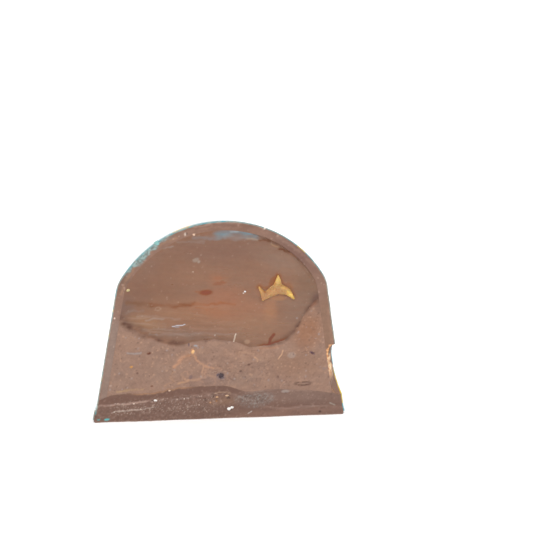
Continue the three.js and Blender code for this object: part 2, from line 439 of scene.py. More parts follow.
def caramelDepth(x, z, inner, inCaramel):
    # sunk under the dome and dragged along by the knife
    underDome = np.hypot(x / 11.8, (z - 11) / 11.9)
    right, top = ramp(3.5, 5, x), ramp(15, 17, z)
    sunk = cutFace["sunk"] * ramp(0.72, 1.0, underDome) * ramp(12, 20, z) * ramp(1, 5, x)
    crease = cutFace["crease"] * hump(inCaramel, 0.1, 0.35)
    groove = cutFace["groove"] * hump(inner, 0.12, 0.16) * right * top
    smears = -cutFace["smear"] * hump(inner, 0.35, 0.3) * ramp(3.8, 2.5, x) * ramp(19, 20.5, z)
    dragged = ramp(14, 12.5, z) * ramp(2, -3, x)
    drags = 0.012 * grain(x + 2 * z, z, (7, 0.6), 23) + 0.016 * dragged * grain(x, z + 0.08 * x, (3, 0.2), 24)
    depth = 0.02 + sunk + crease + groove + smears + drags
    return depth + cutFace["besideSplinter"] * (1 - ramp(0.02, 0.25, splinterReach(x, z)))


def pralineDepth(x, z):
    # grainy, cracked and pitted
    depth = cutFace["pralineDepth"] + 0.02 * grain(x, z, (0.5, 0.4), 25) + 0.03 * grain(x, z, (2.4, 1.2), 26)
    for height, width, ridge in cutFace["ridges"]:
        depth = depth - height * hump(strokeReach(x, z, ridge), 0, width)
    pits = ramp(0.45, 0.75, lumps(x, z, (0.22, 0.22), 27) * (0.6 + 0.4 * lumps(x, z, (3, 3), 28)))
    depth = depth + cutFace["pits"] * pits
    for at, size, hole in cutFace["airHoles"]:
        depth = depth + hole * (1 - ramp(0.65, 1.1, spotReach(x, z, at, size)))
    return depth


def baseDepth(x, z):
    # proud under the drag line and rough there
    underLine = 1 - ramp(-0.08, 0.1, z - dragCurve(x) - 0.05 * grain(x, 0 * x, (0.8, 1), 29))
    rough = grain(x, z, (0.35, 0.3), 30) * ramp(4, -1, x)
    patch = 1 - ramp(0.6, 1.1, spotReach(x, z, *cutFace["roughPatch"]))
    depth = cutFace["baseDepth"] - cutFace["baseProud"] * underLine + 0.035 * rough * underLine
    depth = depth + cutFace["patchDepth"] * patch * grain(x, z, (0.3, 0.3), 31)
    return depth + 0.006 * grain(x, z, (3, 0.2), 32)


def cutDepth(x, z):
    inset = insetAt(x, z)
    inner = insetAt(x - mould["wallShift"], z) - mould["skin"] - mould["wall"]
    inCaramel = z - pralineLine(x)
    inPraline = z - baseLine(x)
    filling = ramp(-0.08, 0.12, inner) * ramp(-0.05, 0.05, inPraline)
    isCaramel = ramp(-0.1, 0.1, inCaramel)
    isBase = 1 - ramp(-0.05, 0.05, inPraline)
    # the rim is torn where the knife left the shell
    torn = 1 - ramp(0, cutFace["tornRim"], inset)
    depth = knifeWaves(x, z) + torn * (cutFace["rimDepth"] + 0.06 * grain(x, z, (0.5, 0.5), 21))
    depth = depth + 0.012 * grain(x, z, (0.7, 0.5), 22)
    caramel = caramelDepth(x, z, inner, inCaramel)
    depth = depth + filling * (caramel * isCaramel + pralineDepth(x, z) * (1 - isCaramel))
    return depth + isBase * baseDepth(x, z)


# Chip out of the right-hand edge

chip = {
    "centre": (14.1, -3.6, 6.4),
    "reach": (2.1, 6.0, 5.1),
    "top": 8.3,
    "flatTop": 0.1,              # how much of its roundness is left over the top
    "roughness": 0.12,
    "paintEdge": 0.1,
    "paintAbove": 0.15,
}


def chipTool():
    deselectAll()
    bpy.ops.mesh.primitive_ico_sphere_add(subdivisions=6, radius=1)
    tool = bpy.context.object
    tool.name = "chipTool"
    places = cornersOf(tool) * chip["reach"] + chip["centre"]
    places[:, 0] += chip["roughness"] * grain(places[:, 1], places[:, 2], (0.7, 0.5), 41, 4)
    over = places[:, 2] > chip["top"]
    places[over, 2] = chip["top"] + chip["flatTop"] * (places[over, 2] - chip["top"])
    moveCorners(tool, places * mm)
    return tool


# Bodies of the layers

def blockBehindCut():
    width, height, depth = layers["cutBlock"]
    middle = height / 2 - layers["cutBlockBelow"]
    cells = (round(width / layers["cutCell"]), round(height / layers["cutCell"]))
    block = reliefBlock("cutTool", (width, height), (0, middle), cells, lambda x, z: -cutDepth(x, z), depth)
    places = cornersOf(block)
    moveCorners(block, np.column_stack([places[:, 0], -places[:, 2], places[:, 1]]))
    return block


def shapeLayers():
    cut = blockBehindCut()
    broken = chipTool()
    outside = turnedBody("skinPiece", 0, capSteps=56, wallSteps=60, rounds=384)
    underSkin = turnedBody("underSkin", mould["skin"], capSteps=48, wallSteps=12, rounds=160)
    behindWall = mould["skin"] + mould["wall"]
    cavity = turnedBody("cavity", behindWall, capSteps=96, wallSteps=60, rounds=160, shift=mould["wallShift"])
    pralineBlock = layerBlock("pralineBlock", layerBehind(pralineLine), layers["blockCells"])
    baseBlock = layerBlock("baseBlock", layerBehind(baseLine), layers["blockCells"])
    footBlock = layerBlock("footBlock", lambda x, y: 0 * x + mould["skinFoot"], (2, 2))
    print("tools ready")

    skin = carve(outside, underSkin, "DIFFERENCE")
    carve(skin, footBlock, "DIFFERENCE", False)
    shell = carve(copyOf(underSkin, "shellPiece"), cavity, "DIFFERENCE")
    carve(shell, baseBlock, "DIFFERENCE")
    caramel = carve(copyOf(cavity, "caramelPiece"), pralineBlock, "DIFFERENCE")
    praline = carve(cavity, pralineBlock, "INTERSECT", False)
    praline.name = "pralinePiece"
    carve(praline, baseBlock, "DIFFERENCE")
    base = carve(underSkin, baseBlock, "INTERSECT", False)
    base.name = "basePiece"
    pieces = skin, shell, caramel, praline, base
    for piece in pieces:
        carve(piece, cut, "INTERSECT")
    for piece in (skin, shell, base):
        carve(piece, broken, "DIFFERENCE")
    discard(cut, broken)
    print("layers cut:", [(piece.name, len(piece.data.polygons)) for piece in pieces])
    return pieces


# Paint: every corner of a piece carries its own tone

def plain(x, colour):
    return np.tile(tone(*colour), (len(x), 1))


def wash(colours, *coats):
    # coats laid one over the other, each as (share, colour)
    for share, colour in coats:
        share = np.clip(share, 0, 1)[:, None]
        colours = colours * (1 - share) + tone(*colour) * share
    return colours


markStyle = {
    # where the edge of each kind of mark starts and ends, as shares of its size
    "washes": (0.2, 1.5),
    "streaks": (0.2, 1.6),
    "spots": (0.6, 1.25),
    "lines": (0.4, 1.3),
    "specks": (0.5, 1.4),
    "wander": 0.1,
    "steadied": 0.3,
    "wisps": (0.03, 0.11),       # this one in millimetres
    "wispBends": 3,
    "faintness": (0.4, 1),
}


def paintMarks(colours, x, z, marks, seed):
    # spots and strokes with edges that wander a little
    wander, steadied = markStyle["wander"], markStyle["steadied"]
    u = x + wander * grain(x, z, (0.6, 0.4), seed)
    v = z + wander * grain(x, z, (0.6, 0.4), seed + 7)
    streaky = 0.75 + 0.35 * grain(x, z, (1.6, 0.3), seed + 14)
    steady = x + steadied * (u - x), z + steadied * (v - z)
    kinds = ("washes", (u, v), 1), ("streaks", (u, v), streaky), ("spots", steady, 1), ("lines", steady, 1)
    for kind, place, patchy in kinds:
        for *form, colour, strength in marks.get(kind, []):
            if kind in ("washes", "spots"):
                reach = spotReach(*place, *form)
            else:
                reach = strokeReach(*place, form[0]) / form[1]
            share = strength * patchy * (1 - ramp(*markStyle[kind], reach))
            colours = wash(colours, (share, colour))
    return colours


def sprinkle(colours, x, z, specks):
    # seeded specks, as area (left, right, low, high), amount, sizes, colour, strength and seed
    edge = markStyle["specks"]
    for (left, right, low, high), amount, sizes, colour, strength, seed in specks:
        chance = np.random.default_rng(seed)
        for _ in range(amount):
            at = chance.uniform(left, right), chance.uniform(low, high)
            width = chance.uniform(*sizes)
            near = (np.abs(x - at[0]) < 2 * width) & (np.abs(z - at[1]) < 2 * width)
            if near.any():
                tall, turn = width * chance.uniform(0.5, 1), chance.uniform(0, 180)
                reach = spotReach(x[near], z[near], at, (width, tall), turn)
                share = strength * chance.uniform(*markStyle["faintness"]) * (1 - ramp(*edge, reach))
                colours[near] = wash(colours[near], (share, colour))
    return colours


def wisps(colours, x, z, hairs):
    # short bent hairs in every direction, as area, amount, colour, strength and seed
    edge = markStyle["wisps"]
    for (left, right, low, high), amount, colour, strength, seed in hairs:
        chance = np.random.default_rng(seed)
        for _ in range(amount):
            at = np.array([chance.uniform(left, right), chance.uniform(low, high)])
            turn, bend = chance.uniform(0, 2 * math.pi), chance.uniform(-1.2, 1.2)
            line = [at]
            for _ in range(markStyle["wispBends"]):
                line.append(line[-1] + chance.uniform(0.2, 0.45) * np.array([math.cos(turn), math.sin(turn)]))
                turn += bend
            near = np.hypot(x - at[0], z - at[1]) < 2
            if near.any():
                reach = strokeReach(x[near], z[near], line)
                share = strength * chance.uniform(*markStyle["faintness"]) * (1 - ramp(*edge, reach))
                colours[near] = wash(colours[near], (share, colour))
    return colours


def paint(piece, toneAt):
    places = cornersOf(piece) / mm
    colours = bareTone(toneAt(*places.T))
    layer = piece.data.attributes.new("tone", "FLOAT_COLOR", "POINT")
    layer.data.foreach_set("color", np.column_stack([colours, np.ones(len(colours))]).ravel())


# Shell and base

shellPaint = {
    "ground": (148, 116, 101),
    "deep": (140, 108, 92),
    "washes": [
        ((0.5, 22.9), (6.5, 0.9), 0, (138, 106, 92), 0.9),
        ((8.6, 19.6), (3.4, 1.6), -42, (130, 99, 89), 0.9),
        ((12.3, 12.0), (0.9, 4.0), 6, (146, 114, 98), 0.7),
        ((-13.0, 9.0), (1.0, 4.5), -6, (154, 130, 118), 0.7),
        ((-9.3, 19.8), (2.4, 0.7), 47, (132, 120, 112), 0.5),
        ((-11.1, 17.0), (0.7, 2.2), -22, (130, 103, 90), 0.8),
    ],
    "streaks": [
        # painted highlight along the ridge of the shell's inner edge on the upper left
        ([(-11.5, 15.2), (-10.9, 16.9), (-9.6, 18.8), (-7.9, 20.4), (-5.4, 21.6)],
         0.16, (174, 136, 110), 0.55),
        ([(-12.9, 11.5), (-12.4, 14.5)], 0.12, (196, 166, 150), 0.5),
        ([(-6.9, 21.6), (-4.5, 22.6), (-1.0, 23.2), (3.0, 23.1), (6.5, 21.9)], 0.1, (180, 150, 134), 0.6),
        ([(-4.5, 22.1), (-1.5, 22.7), (2.0, 22.6)], 0.16, (160, 126, 108), 0.5),
        ([(6.2, 21.4), (8.6, 19.9), (10.4, 18.0)], 0.2, (168, 136, 120), 0.5),
        ([(12.2, 12.6), (12.5, 10.4), (12.8, 8.6)], 0.14, (192, 150, 132), 0.55),
    ],
    "spots": [
        ((-4.16, 22.06), (0.16, 0.12), 0, (96, 78, 72), 0.8),
        # the next spot is a painted highlight on the top-left of the rim
        ((-4.3, 22.0), (0.1, 0.2), 0, (225, 205, 190), 0.8),
        ((-3.3, 21.9), (0.17, 0.14), 0, (225, 190, 165), 0.85),
        ((4.75, 22.46), (0.16, 0.12), 20, (235, 222, 208), 0.9),
        ((-4.6, 22.74), (0.75, 0.14), 22, (226, 216, 120), 0.85),
        ((5.2, 22.3), (0.14, 0.08), -30, (220, 205, 190), 0.7),
        ((-12.3, 9.0), (0.12, 0.12), 0, (226, 205, 188), 0.8),
        ((-13.6, 6.3), (0.16, 0.16), 0, (184, 168, 158), 0.6),
    ],
    "specks": [
        ((-14, 14, 3, 23.5), 420, (0.06, 0.16), (198, 168, 150), 0.5, 61),
        ((-14, 14, 3, 23.5), 300, (0.06, 0.15), (118, 90, 80), 0.45, 62),
    ],
    "smeared": (128, 166, 166),
    "smearedPale": (182, 204, 200),
    "smearedDark": (112, 112, 106),
    "rimSpeck": (226, 214, 176),
    "rubbed": (140, 150, 146),
    "leftOfFilling": (151, 129, 118),
    "rightOfFilling": (147, 115, 96),
    # painted highlights where the facets of the chip catch the light, in orange and in white
    "chipOrangeGlint": (238, 178, 128),
    "chipBrown": (210, 150, 106),
    "chipWhiteGlint": (254, 228, 182),
    # painted shadow in the hollow under the top of the chip
    "hollowShadow": (72, 60, 58),
}

basePaint = {
    "ground": (130, 102, 91),
    "washes": [
        ((-9.0, 2.8), (5.5, 0.5), 3, (126, 96, 84), 0.9),
        ((-1.0, 3.3), (4.0, 0.5), 2, (128, 99, 88), 0.8),
        ((8.5, 2.4), (6.0, 0.9), -3, (139, 113, 102), 0.9),
        ((8.0, 0.5), (6.5, 0.5), 2, (146, 114, 101), 0.7),
        ((-6.0, 1.2), (7.0, 0.9), 3, (130, 103, 92), 0.6),
        ((-12.0, 1.0), (2.0, 1.2), 3, (130, 102, 90), 0.7),
        ((0.4, 2.1), (1.8, 0.5), 4, (150, 118, 98), 0.6),
    ],
    "streaks": [
        # the next two streaks are painted highlights on the top edge of the proud ledge along the drag line
        ([(-13.8, 1.95), (-9.0, 2.32), (-5.9, 2.75), (-0.84, 3.05), (0.9, 3.17)],
         0.09, (196, 164, 148), 0.55),
        ([(1.2, 3.05), (1.9, 2.6), (3.9, 1.5), (7.8, 0.8), (12.75, 1.2)], 0.08, (162, 136, 122), 0.3),
        ([(-12.45, 1.2), (-10.7, 1.34), (-7.43, 1.63)], 0.07, (205, 185, 172), 0.7),
        ([(3.0, 3.0), (6.5, 3.2), (11.0, 2.85)], 0.1, (160, 132, 118), 0.6),
        ([(-8.5, 2.6), (-4.0, 3.1)], 0.08, (156, 126, 112), 0.5),
    ],
    "spots": [
        ((11.58, 0.46), (0.17, 0.14), 0, (74, 58, 58), 0.9),
        ((13.49, 3.05), (0.2, 0.17), 0, (84, 66, 62), 0.8),
        ((-14.38, 1.6), (0.16, 0.65), 0, (92, 196, 200), 0.9),
        ((-13.03, 0.35), (0.32, 0.14), 5, (104, 200, 200), 0.9),
        ((-14.0, 0.35), (0.2, 0.1), 5, (110, 190, 190), 0.6),
        ((-1.8, 2.35), (0.22, 0.16), 0, (92, 70, 62), 0.8),
        ((-0.9, 2.75), (0.16, 0.2), 0, (88, 66, 58), 0.8),
        ((0.9, 2.45), (0.24, 0.14), 0, (86, 68, 62), 0.8),
        ((-0.5, 2.2), (0.14, 0.14), 0, (170, 122, 84), 0.8),
        ((7.5, 2.95), (0.5, 0.16), 0, (172, 158, 150), 0.7),
    ],
    "lines": [
        ([(12.74, 1.41), (13.35, 1.08)], 0.07, (176, 166, 152), 0.75),
        ([(3.2, 0.5), (3.6, 0.75)], 0.05, (220, 212, 204), 0.8),
        ([(-0.6, 3.0), (0.3, 3.15), (1.2, 2.95)], 0.06, (206, 172, 140), 0.6),
    ],
    "roughSpecks": [
        ((-12.8, -0.6, 0.8, 2.9), 420, (0.04, 0.07), (206, 184, 168), 0.62, 77),
        ((-12.8, 2.5, 0.5, 2.7), 150, (0.04, 0.08), (88, 67, 60), 0.7, 78),
    ],
    "specks": [
        ((-14.4, 14.4, 0, 3.8), 320, (0.05, 0.12), (178, 150, 134), 0.4, 74),
        ((-14.4, 14.4, 0, 3.8), 300, (0.05, 0.12), (98, 76, 70), 0.45, 75),
    ],
    "roughPale": (176, 150, 136),
    "roughDark": (108, 84, 76),
    "strip": (124, 95, 84),
    "edge": (190, 146, 114),
    "patch": (141, 128, 121),
    "patchPale": (165, 156, 149),
    "patchDark": (116, 94, 86),
    "foot": (178, 152, 138),
}


def nearChip(x, y, z, reached):
    # 1 on the broken face of the chip and up to a distance before it, 0 beyond
    middle, reach = chip["centre"], chip["reach"]
    v, w = (y - middle[1]) / reach[1], (z - middle[2]) / reach[2]
    leftEdge = middle[0] - reach[0] * np.sqrt(np.clip(1 - v * v - w * w, 0, 1))
    beside = 1 - ramp(reached - chip["paintEdge"], reached, leftEdge - x)
    return beside * (v * v + w * w < 1) * (z < chip["top"] + chip["paintAbove"])


def chipWash(colours, x, y, z):
    broken = nearChip(x, y, z, 0.34 + 0.12 * lumps(y, z, (0.4, 0.3), 52))
    facets = lumps(x + y, z, (0.5, 0.14), 51)
    # a painted shadow in the hollow on the right of the chip, under its top
    hollowShadow = nearChip(x, y, z, 0.14) * ramp(6.9, 7.3, z) * ramp(8.25, 8.0, z)
    return wash(
        colours,
        (broken, shellPaint["chipBrown"]),
        # painted highlights where the facets catch the light
        (broken * ramp(-0.4, 0.0, facets), shellPaint["chipOrangeGlint"]),
        (broken * ramp(0.2, 0.5, facets), shellPaint["chipWhiteGlint"]),
        (broken * ramp(5.2, 3.8, z), shellPaint["deep"]),
        (0.9 * hollowShadow, shellPaint["hollowShadow"]),
        (broken * ramp(1.1, 1.6, y), shellPaint["deep"]),
    )


def shellTone(x, y, z):
    colours = paintMarks(plain(x, shellPaint["ground"]), x, z, shellPaint, 60)
    colours = sprinkle(colours, x, z, shellPaint["specks"])
    inset = insetAt(x, z)
    bits = lumps(x, z, (0.14, 0.12), 66)
    # the skin's colour is smeared over the torn rim on the upper left
    upperLeft = ramp(-11.6, -10.4, x) * ramp(-5.4, -7.6, x) * ramp(17.0, 18.2, z)
    ragged = 0.5 + 0.3 * grain(x, z, (0.7, 0.5), 63)
    torn = upperLeft * (1 - ramp(ragged - 0.15, ragged + 0.15, inset))
    # pale specks of the skin lie along the right-hand edge
    rim = (1 - ramp(0.1, 0.2, inset)) * ramp(9, 11, x) * ramp(8.4, 9, z)
    rubbed = 0.05 + 0.05 * grain(x, z, (1.2, 1.2), 64)
    beside = ramp(0.4, -1.6, z - pralineLine(x)) * ramp(0.12, 0.4, inset)
    colours = wash(
        colours,
        (0.65 * torn, shellPaint["smeared"]),
        (0.5 * torn * ramp(0.0, 0.4, bits), shellPaint["smearedPale"]),
        (0.5 * torn * ramp(-0.1, -0.5, bits), shellPaint["smearedDark"]),
        (0.8 * rim * ramp(0.15, 0.45, bits), shellPaint["rimSpeck"]),
        (0.6 * (1 - ramp(rubbed, rubbed + 0.1, inset)) * (z > 10), shellPaint["rubbed"]),
        (0.75 * beside * (x < 0), shellPaint["leftOfFilling"]),
        (0.75 * beside * (x > 0), shellPaint["rightOfFilling"]),
    )
    colours = chipWash(colours, x, y, z)
    return colours * (1 + 0.05 * grain(x, z, (0.9, 0.5), 65))[:, None]


def baseTone(x, y, z):
    colours = paintMarks(plain(x, basePaint["ground"]), x, z, basePaint, 70)
    overDrag = z - dragCurve(x)
    rough = (1 - ramp(-0.05, 0.1, overDrag)) * ramp(3.5, 0, x)
    bits = lumps(x, z, (0.2, 0.17), 71)
    colours = wash(
        colours,
        (0.3 * rough * ramp(0.35, 0.8, bits), basePaint["roughPale"]),
        (0.4 * rough * ramp(-0.4, -0.75, bits), basePaint["roughDark"]),
    )
    colours = sprinkle(colours, x, z, basePaint["roughSpecks"])
    strip = ramp(0.1, 0.3, overDrag) * ramp(3, 1, x)
    uneven = 0.15 * grain(x, z, (0.6, 0.4), 72)
    patch = 1 - ramp(0.55, 1.15, spotReach(x, z, *cutFace["roughPatch"]) + uneven)
    flecks = lumps(x, z, (0.13, 0.11), 73)
    edge = hump(z - baseLine(x), -0.08, 0.09) * ramp(-11, -9, x) * ramp(-2.5, -4.5, x)
    colours = wash(
        colours,
        (0.7 * strip, basePaint["strip"]),
        (0.35 * patch, basePaint["patch"]),
        (patch * 0.65 * ramp(0.0, 0.5, flecks), basePaint["patchPale"]),
        (patch * 0.5 * ramp(-0.3, -0.8, flecks), basePaint["patchDark"]),
        (0.7 * edge, basePaint["edge"]),
    )
    colours = sprinkle(colours, x, z, basePaint["specks"])
    colours = wash(colours, (0.45 * (1 - ramp(0.06, 0.16, z)) * (y < 0.3), basePaint["foot"]))
    colours = chipWash(colours, x, y, z)
    return colours * (1 + 0.04 * grain(x, z, (1.4, 0.3), 76))[:, None]


# Caramel

caramelPaint = {
    "ground": (147, 110, 90),
    "washes": [
        ((0.0, 20.2), (9.0, 2.4), 0, (136, 103, 88), 0.85),
        ((-7.5, 16.5), (4.5, 3.5), 30, (139, 103, 84), 0.75),
        ((-9.6, 15.0), (1.6, 2.6), 20, (134, 100, 84), 0.6),
        ((-8.4, 18.4), (1.8, 1.2), 40, (138, 108, 94), 0.5),
        ((-3.0, 17.2), (3.4, 1.6), 0, (151, 113, 92), 0.5),
        ((-11.2, 13.3), (1.4, 1.7), 10, (122, 98, 90), 0.75),
        ((-3.5, 12.6), (6.0, 1.6), -6, (158, 117, 92), 0.7),
        ((0.8, 13.0), (4.6, 1.5), -6, (164, 116, 91), 0.7),
        ((-0.7, 12.7), (1.8, 0.6), -8, (168, 114, 84), 0.35),
        ((0.2, 14.6), (2.6, 1.2), 0, (164, 114, 90), 0.7),
        ((-0.6, 16.6), (1.2, 0.8), 0, (166, 114, 86), 0.45),
        ((9.9, 15.3), (1.7, 3.2), 8, (136, 106, 88), 0.9),
        ((8.5, 12.6), (1.5, 2.2), -30, (140, 112, 97), 0.6),
        ((6.6, 18.6), (3.5, 1.4), -25, (147, 120, 105), 0.6),
        ((5.5, 12.9), (0.8, 1.5), 0, (176, 126, 94), 0.6),
        ((3.8, 13.4), (1.6, 0.9), -20, (164, 118, 94), 0.5),
        ((8.2, 13.6), (1.2, 0.8), 0, (148, 116, 98), 0.5),
        # painted shade in the gap where caramel, praline and shell meet on the right
        ((11.0, 13.9), (0.8, 1.0), 0, (112, 86, 78), 0.8),
        ((4.0, 11.0), (3.2, 1.4), 0, (160, 122, 98), 0.5),
        ((-8.8, 11.7), (2.6, 0.9), -22, (156, 118, 90), 0.6),
        ((-4.6, 10.2), (3.0, 0.7), -8, (138, 112, 98), 0.6),
        ((2.0, 9.6), (3.6, 0.6), -3, (150, 118, 98), 0.4),
    ],
    "streaks": [
        ([(-10.8, 14.1), (-8.1, 13.85)], 0.26, (128, 90, 66), 0.8),
        ([(-8.1, 13.85), (-5.2, 13.57), (-3.3, 13.8)], 0.22, (136, 84, 56), 0.95),
        ([(-3.3, 13.8), (-1.4, 13.65), (-0.2, 13.8), (1.4, 13.6)], 0.14, (158, 96, 62), 0.65),
        ([(-3.0, 13.3), (-1.9, 13.1), (-0.6, 13.2)], 0.1, (162, 98, 64), 0.6),
        ([(-9.6, 12.5), (-7.4, 12.45), (-4.8, 12.0)], 0.14, (168, 148, 136), 0.3),
        ([(-8.6, 12.0), (-7.6, 12.15), (-6.6, 12.05)], 0.12, (172, 156, 146), 0.5),
        ([(-10.9, 13.0), (-10.0, 13.25), (-9.0, 13.1)], 0.12, (150, 134, 126), 0.4),
        ([(-10.2, 11.6), (-8.0, 11.5), (-6.4, 11.4)], 0.16, (158, 136, 120), 0.35),
        ([(-9.0, 10.9), (-6.4, 11.0)], 0.1, (160, 144, 132), 0.35),
        ([(-7.4, 10.3), (-5.2, 10.2), (-2.0, 10.25), (1.8, 10.0)], 0.16, (156, 138, 130), 0.3),
        ([(-8.2, 10.35), (-7.3, 10.3)], 0.12, (160, 154, 150), 0.5),
        ([(-3.6, 10.9), (-1.0, 10.6), (2.4, 10.7)], 0.16, (164, 132, 114), 0.35),
        ([(-2.2, 11.6), (0.6, 11.3), (3.8, 11.5)], 0.2, (166, 130, 108), 0.35),
        # the bluish grey streaks from here on are a painted reflection of the light on the glossy top edge of
        # the caramel
        ([(-5.3, 21.15), (-3.8, 21.2), (-2.2, 21.0)], 0.13, (158, 150, 144), 0.3),
        ([(-3.3, 21.6), (-1.6, 21.35), (-0.4, 21.5)], 0.22, (140, 142, 146), 0.5),
        ([(-0.5, 21.9), (1.0, 22.2), (2.4, 22.1), (3.6, 21.6)], 0.5, (124, 140, 147), 1.0),
        ([(0.2, 21.6), (1.4, 21.4), (2.6, 21.5)], 0.3, (146, 148, 149), 0.7),
        ([(0.8, 22.1), (1.7, 22.15)], 0.16, (186, 190, 192), 0.5),
        ([(2.8, 21.3), (3.9, 21.1)], 0.12, (182, 156, 132), 0.6),
        # the dark orange streaks along the shell on the upper right are painted shade in the gap between
        # caramel and shell
        ([(4.1, 21.06), (5.45, 20.92)], 0.12, (124, 82, 60), 0.9),
        ([(5.5, 20.5), (6.4, 20.2)], 0.09, (196, 160, 124), 0.6),
        ([(6.44, 20.0), (7.6, 19.6)], 0.14, (118, 74, 54), 1.0),
        ([(7.8, 19.4), (8.6, 18.75)], 0.08, (150, 96, 66), 0.7),
        ([(8.6, 18.75), (9.5, 18.0), (10.2, 17.3)], 0.12, (124, 82, 62), 0.9),
        ([(10.2, 17.3), (10.9, 15.8), (11.1, 14.4)], 0.1, (124, 92, 78), 0.5),
        ([(-9.9, 19.0), (-8.4, 20.2), (-6.8, 20.9)], 0.14, (160, 150, 142), 0.5),
        ([(-10.9, 16.4), (-10.3, 17.6)], 0.14, (156, 146, 138), 0.45),
        ([(-6.8, 20.4), (-5.6, 20.6)], 0.1, (162, 156, 150), 0.5),
    ],
    "spots": [
        ((-1.87, 15.1), (0.8, 0.36), 4, (140, 80, 50), 1.0),
        ((-2.75, 15.2), (0.4, 0.12), -6, (152, 98, 70), 0.7),
        ((-0.35, 16.15), (0.8, 0.24), 6, (148, 94, 68), 0.75),
        ((-0.5, 16.75), (0.5, 0.3), 0, (162, 108, 82), 0.5),
        ((-3.07, 18.97), (0.42, 0.26), 20, (164, 148, 134), 0.6),
        ((-2.7, 18.75), (0.2, 0.16), 20, (172, 158, 146), 0.6),
        ((-3.34, 17.59), (0.09, 0.08), 0, (200, 178, 156), 0.85),
        ((-0.74, 9.98), (0.12, 0.09), 0, (196, 182, 172), 0.8),
        ((2.96, 9.09), (0.35, 0.3), 0, (184, 148, 122), 0.6),
        ((8.65, 11.75), (0.12, 0.1), 0, (172, 160, 156), 0.6),
        # the next three spots are painted shadow in the recess at the splinter's upper edges
        ((5.75, 16.25), (0.34, 0.62), -28, (144, 90, 60), 0.75),
        ((5.0, 15.45), (0.42, 0.2), 10, (150, 98, 66), 0.55),
        ((7.75, 15.7), (0.55, 0.2), -45, (154, 104, 72), 0.5),
        # painted glow of light through the splinter, on the caramel under it
        ((6.4, 14.2), (0.9, 0.3), -5, (176, 128, 92), 0.6),
    ],
    "lines": [
        ([(-5.65, 11.14), (-5.0, 11.28), (-4.5, 11.3), (-4.2, 11.38)], 0.045, (214, 220, 232), 0.9),
        ([(-5.3, 11.04), (-4.9, 11.12)], 0.06, (170, 182, 196), 0.6),
        ([(1.41, 9.14), (1.5, 9.6), (1.59, 10.1)], 0.06, (236, 216, 198), 0.95),
        ([(-6.95, 13.3), (-7.2, 13.55), (-7.55, 13.45), (-7.6, 13.2), (-7.3, 13.1), (-6.98, 13.25)],
         0.07, (174, 144, 122), 0.5),
    ],
    "specks": [((-11.5, 11.5, 9, 22.5), 160, (0.05, 0.11), (186, 160, 142), 0.4, 86)],
    "bandPale": (164, 122, 96),
    "bandDark": (140, 108, 91),
    "dragPale": (180, 154, 138),
    "dragDark": (126, 94, 80),
    # painted shadow around the splinter
    "shadowRing": (150, 92, 56),
    # painted shade along the seam between caramel and praline
    "seamShadow": (100, 72, 62),
    "amber": (130, 76, 44),
    "crescent": [(5.55, 8.78), (5.62, 9.3), (6.02, 9.85)],
}


def seamShade(x, z):
    # painted shade along the seam between caramel and praline, and how strong it is on either side of it
    left = 0.9 * ramp(-7.5, -9.5, x) + 0.8 * ramp(-8.5, -7, x) * ramp(-3.5, -4.5, x)
    middle = 0.3 * ramp(-4, -3, x) * ramp(4, 3, x)
    right = (0.9 - 0.35 * ramp(8.5, 10.5, x)) * ramp(5.0, 6.2, x)
    above = z > pralineLine(x)
    broad = np.where(above, 0.4, 0.22) + 0.3 * ramp(-7, -9, x) + 0.12 * ramp(6, 8, x)
    patchy = 0.75 + 0.6 * grain(x, z, (0.9, 0.5), 85)
    return (left + middle + right) * patchy * hump(z, pralineLine(x), broad)


def caramelTone(x, y, z):
    bands = grain(x + 2 * z, z + 0.1 * x, (5, 1.1), 81)
    colours = wash(
        plain(x, caramelPaint["ground"]),
        (0.3 * ramp(0.1, 1.0, bands), caramelPaint["bandPale"]),
        (0.3 * ramp(-0.1, -1.0, bands), caramelPaint["bandDark"]),
    )
    colours = paintMarks(colours, x, z, caramelPaint, 82)
    drags = grain(x + 2 * z, z + 0.1 * x + 0.15 * lumps(x, z, (2, 1), 83), (2.6, 0.2), 84)
    streaked = ramp(13.5, 12.0, z) * ramp(1, -4, x)
    # painted shadow around the splinter, strongest in the recess along its upper edges
    above = ramp(14.5, 15.2, z + 0.25 * (x - 6))
    shadowRing = (0.15 + 0.6 * above) * hump(splinterReach(x, z), 0.1, 0.2)
    # painted shade lies on both sides of the seam over the praline, which is glossy amber on the right
    glossy = ramp(3.8, 5.0, x) * ramp(8.0, 6.8, x)
    bright = 1 - ramp(0.1, 0.26, strokeReach(x, z, caramelPaint["crescent"]))
    colours = wash(
        colours,
        ((0.04 + 0.22 * streaked) * ramp(0.2, 1.0, drags), caramelPaint["dragPale"]),
        ((0.05 + 0.16 * streaked) * ramp(-0.2, -1.0, drags), caramelPaint["dragDark"]),
        (shadowRing * (0.8 + 0.4 * lumps(x, z, (0.7, 0.5), 87)), caramelPaint["shadowRing"]),
        (seamShade(x, z), caramelPaint["seamShadow"]),
        (glossy * hump(z - pralineLine(x), 0.08, 0.2), caramelPaint["amber"]),
        (bright, caramelPaint["amber"]),
    )
    return sprinkle(colours, x, z, caramelPaint["specks"])


# Praline

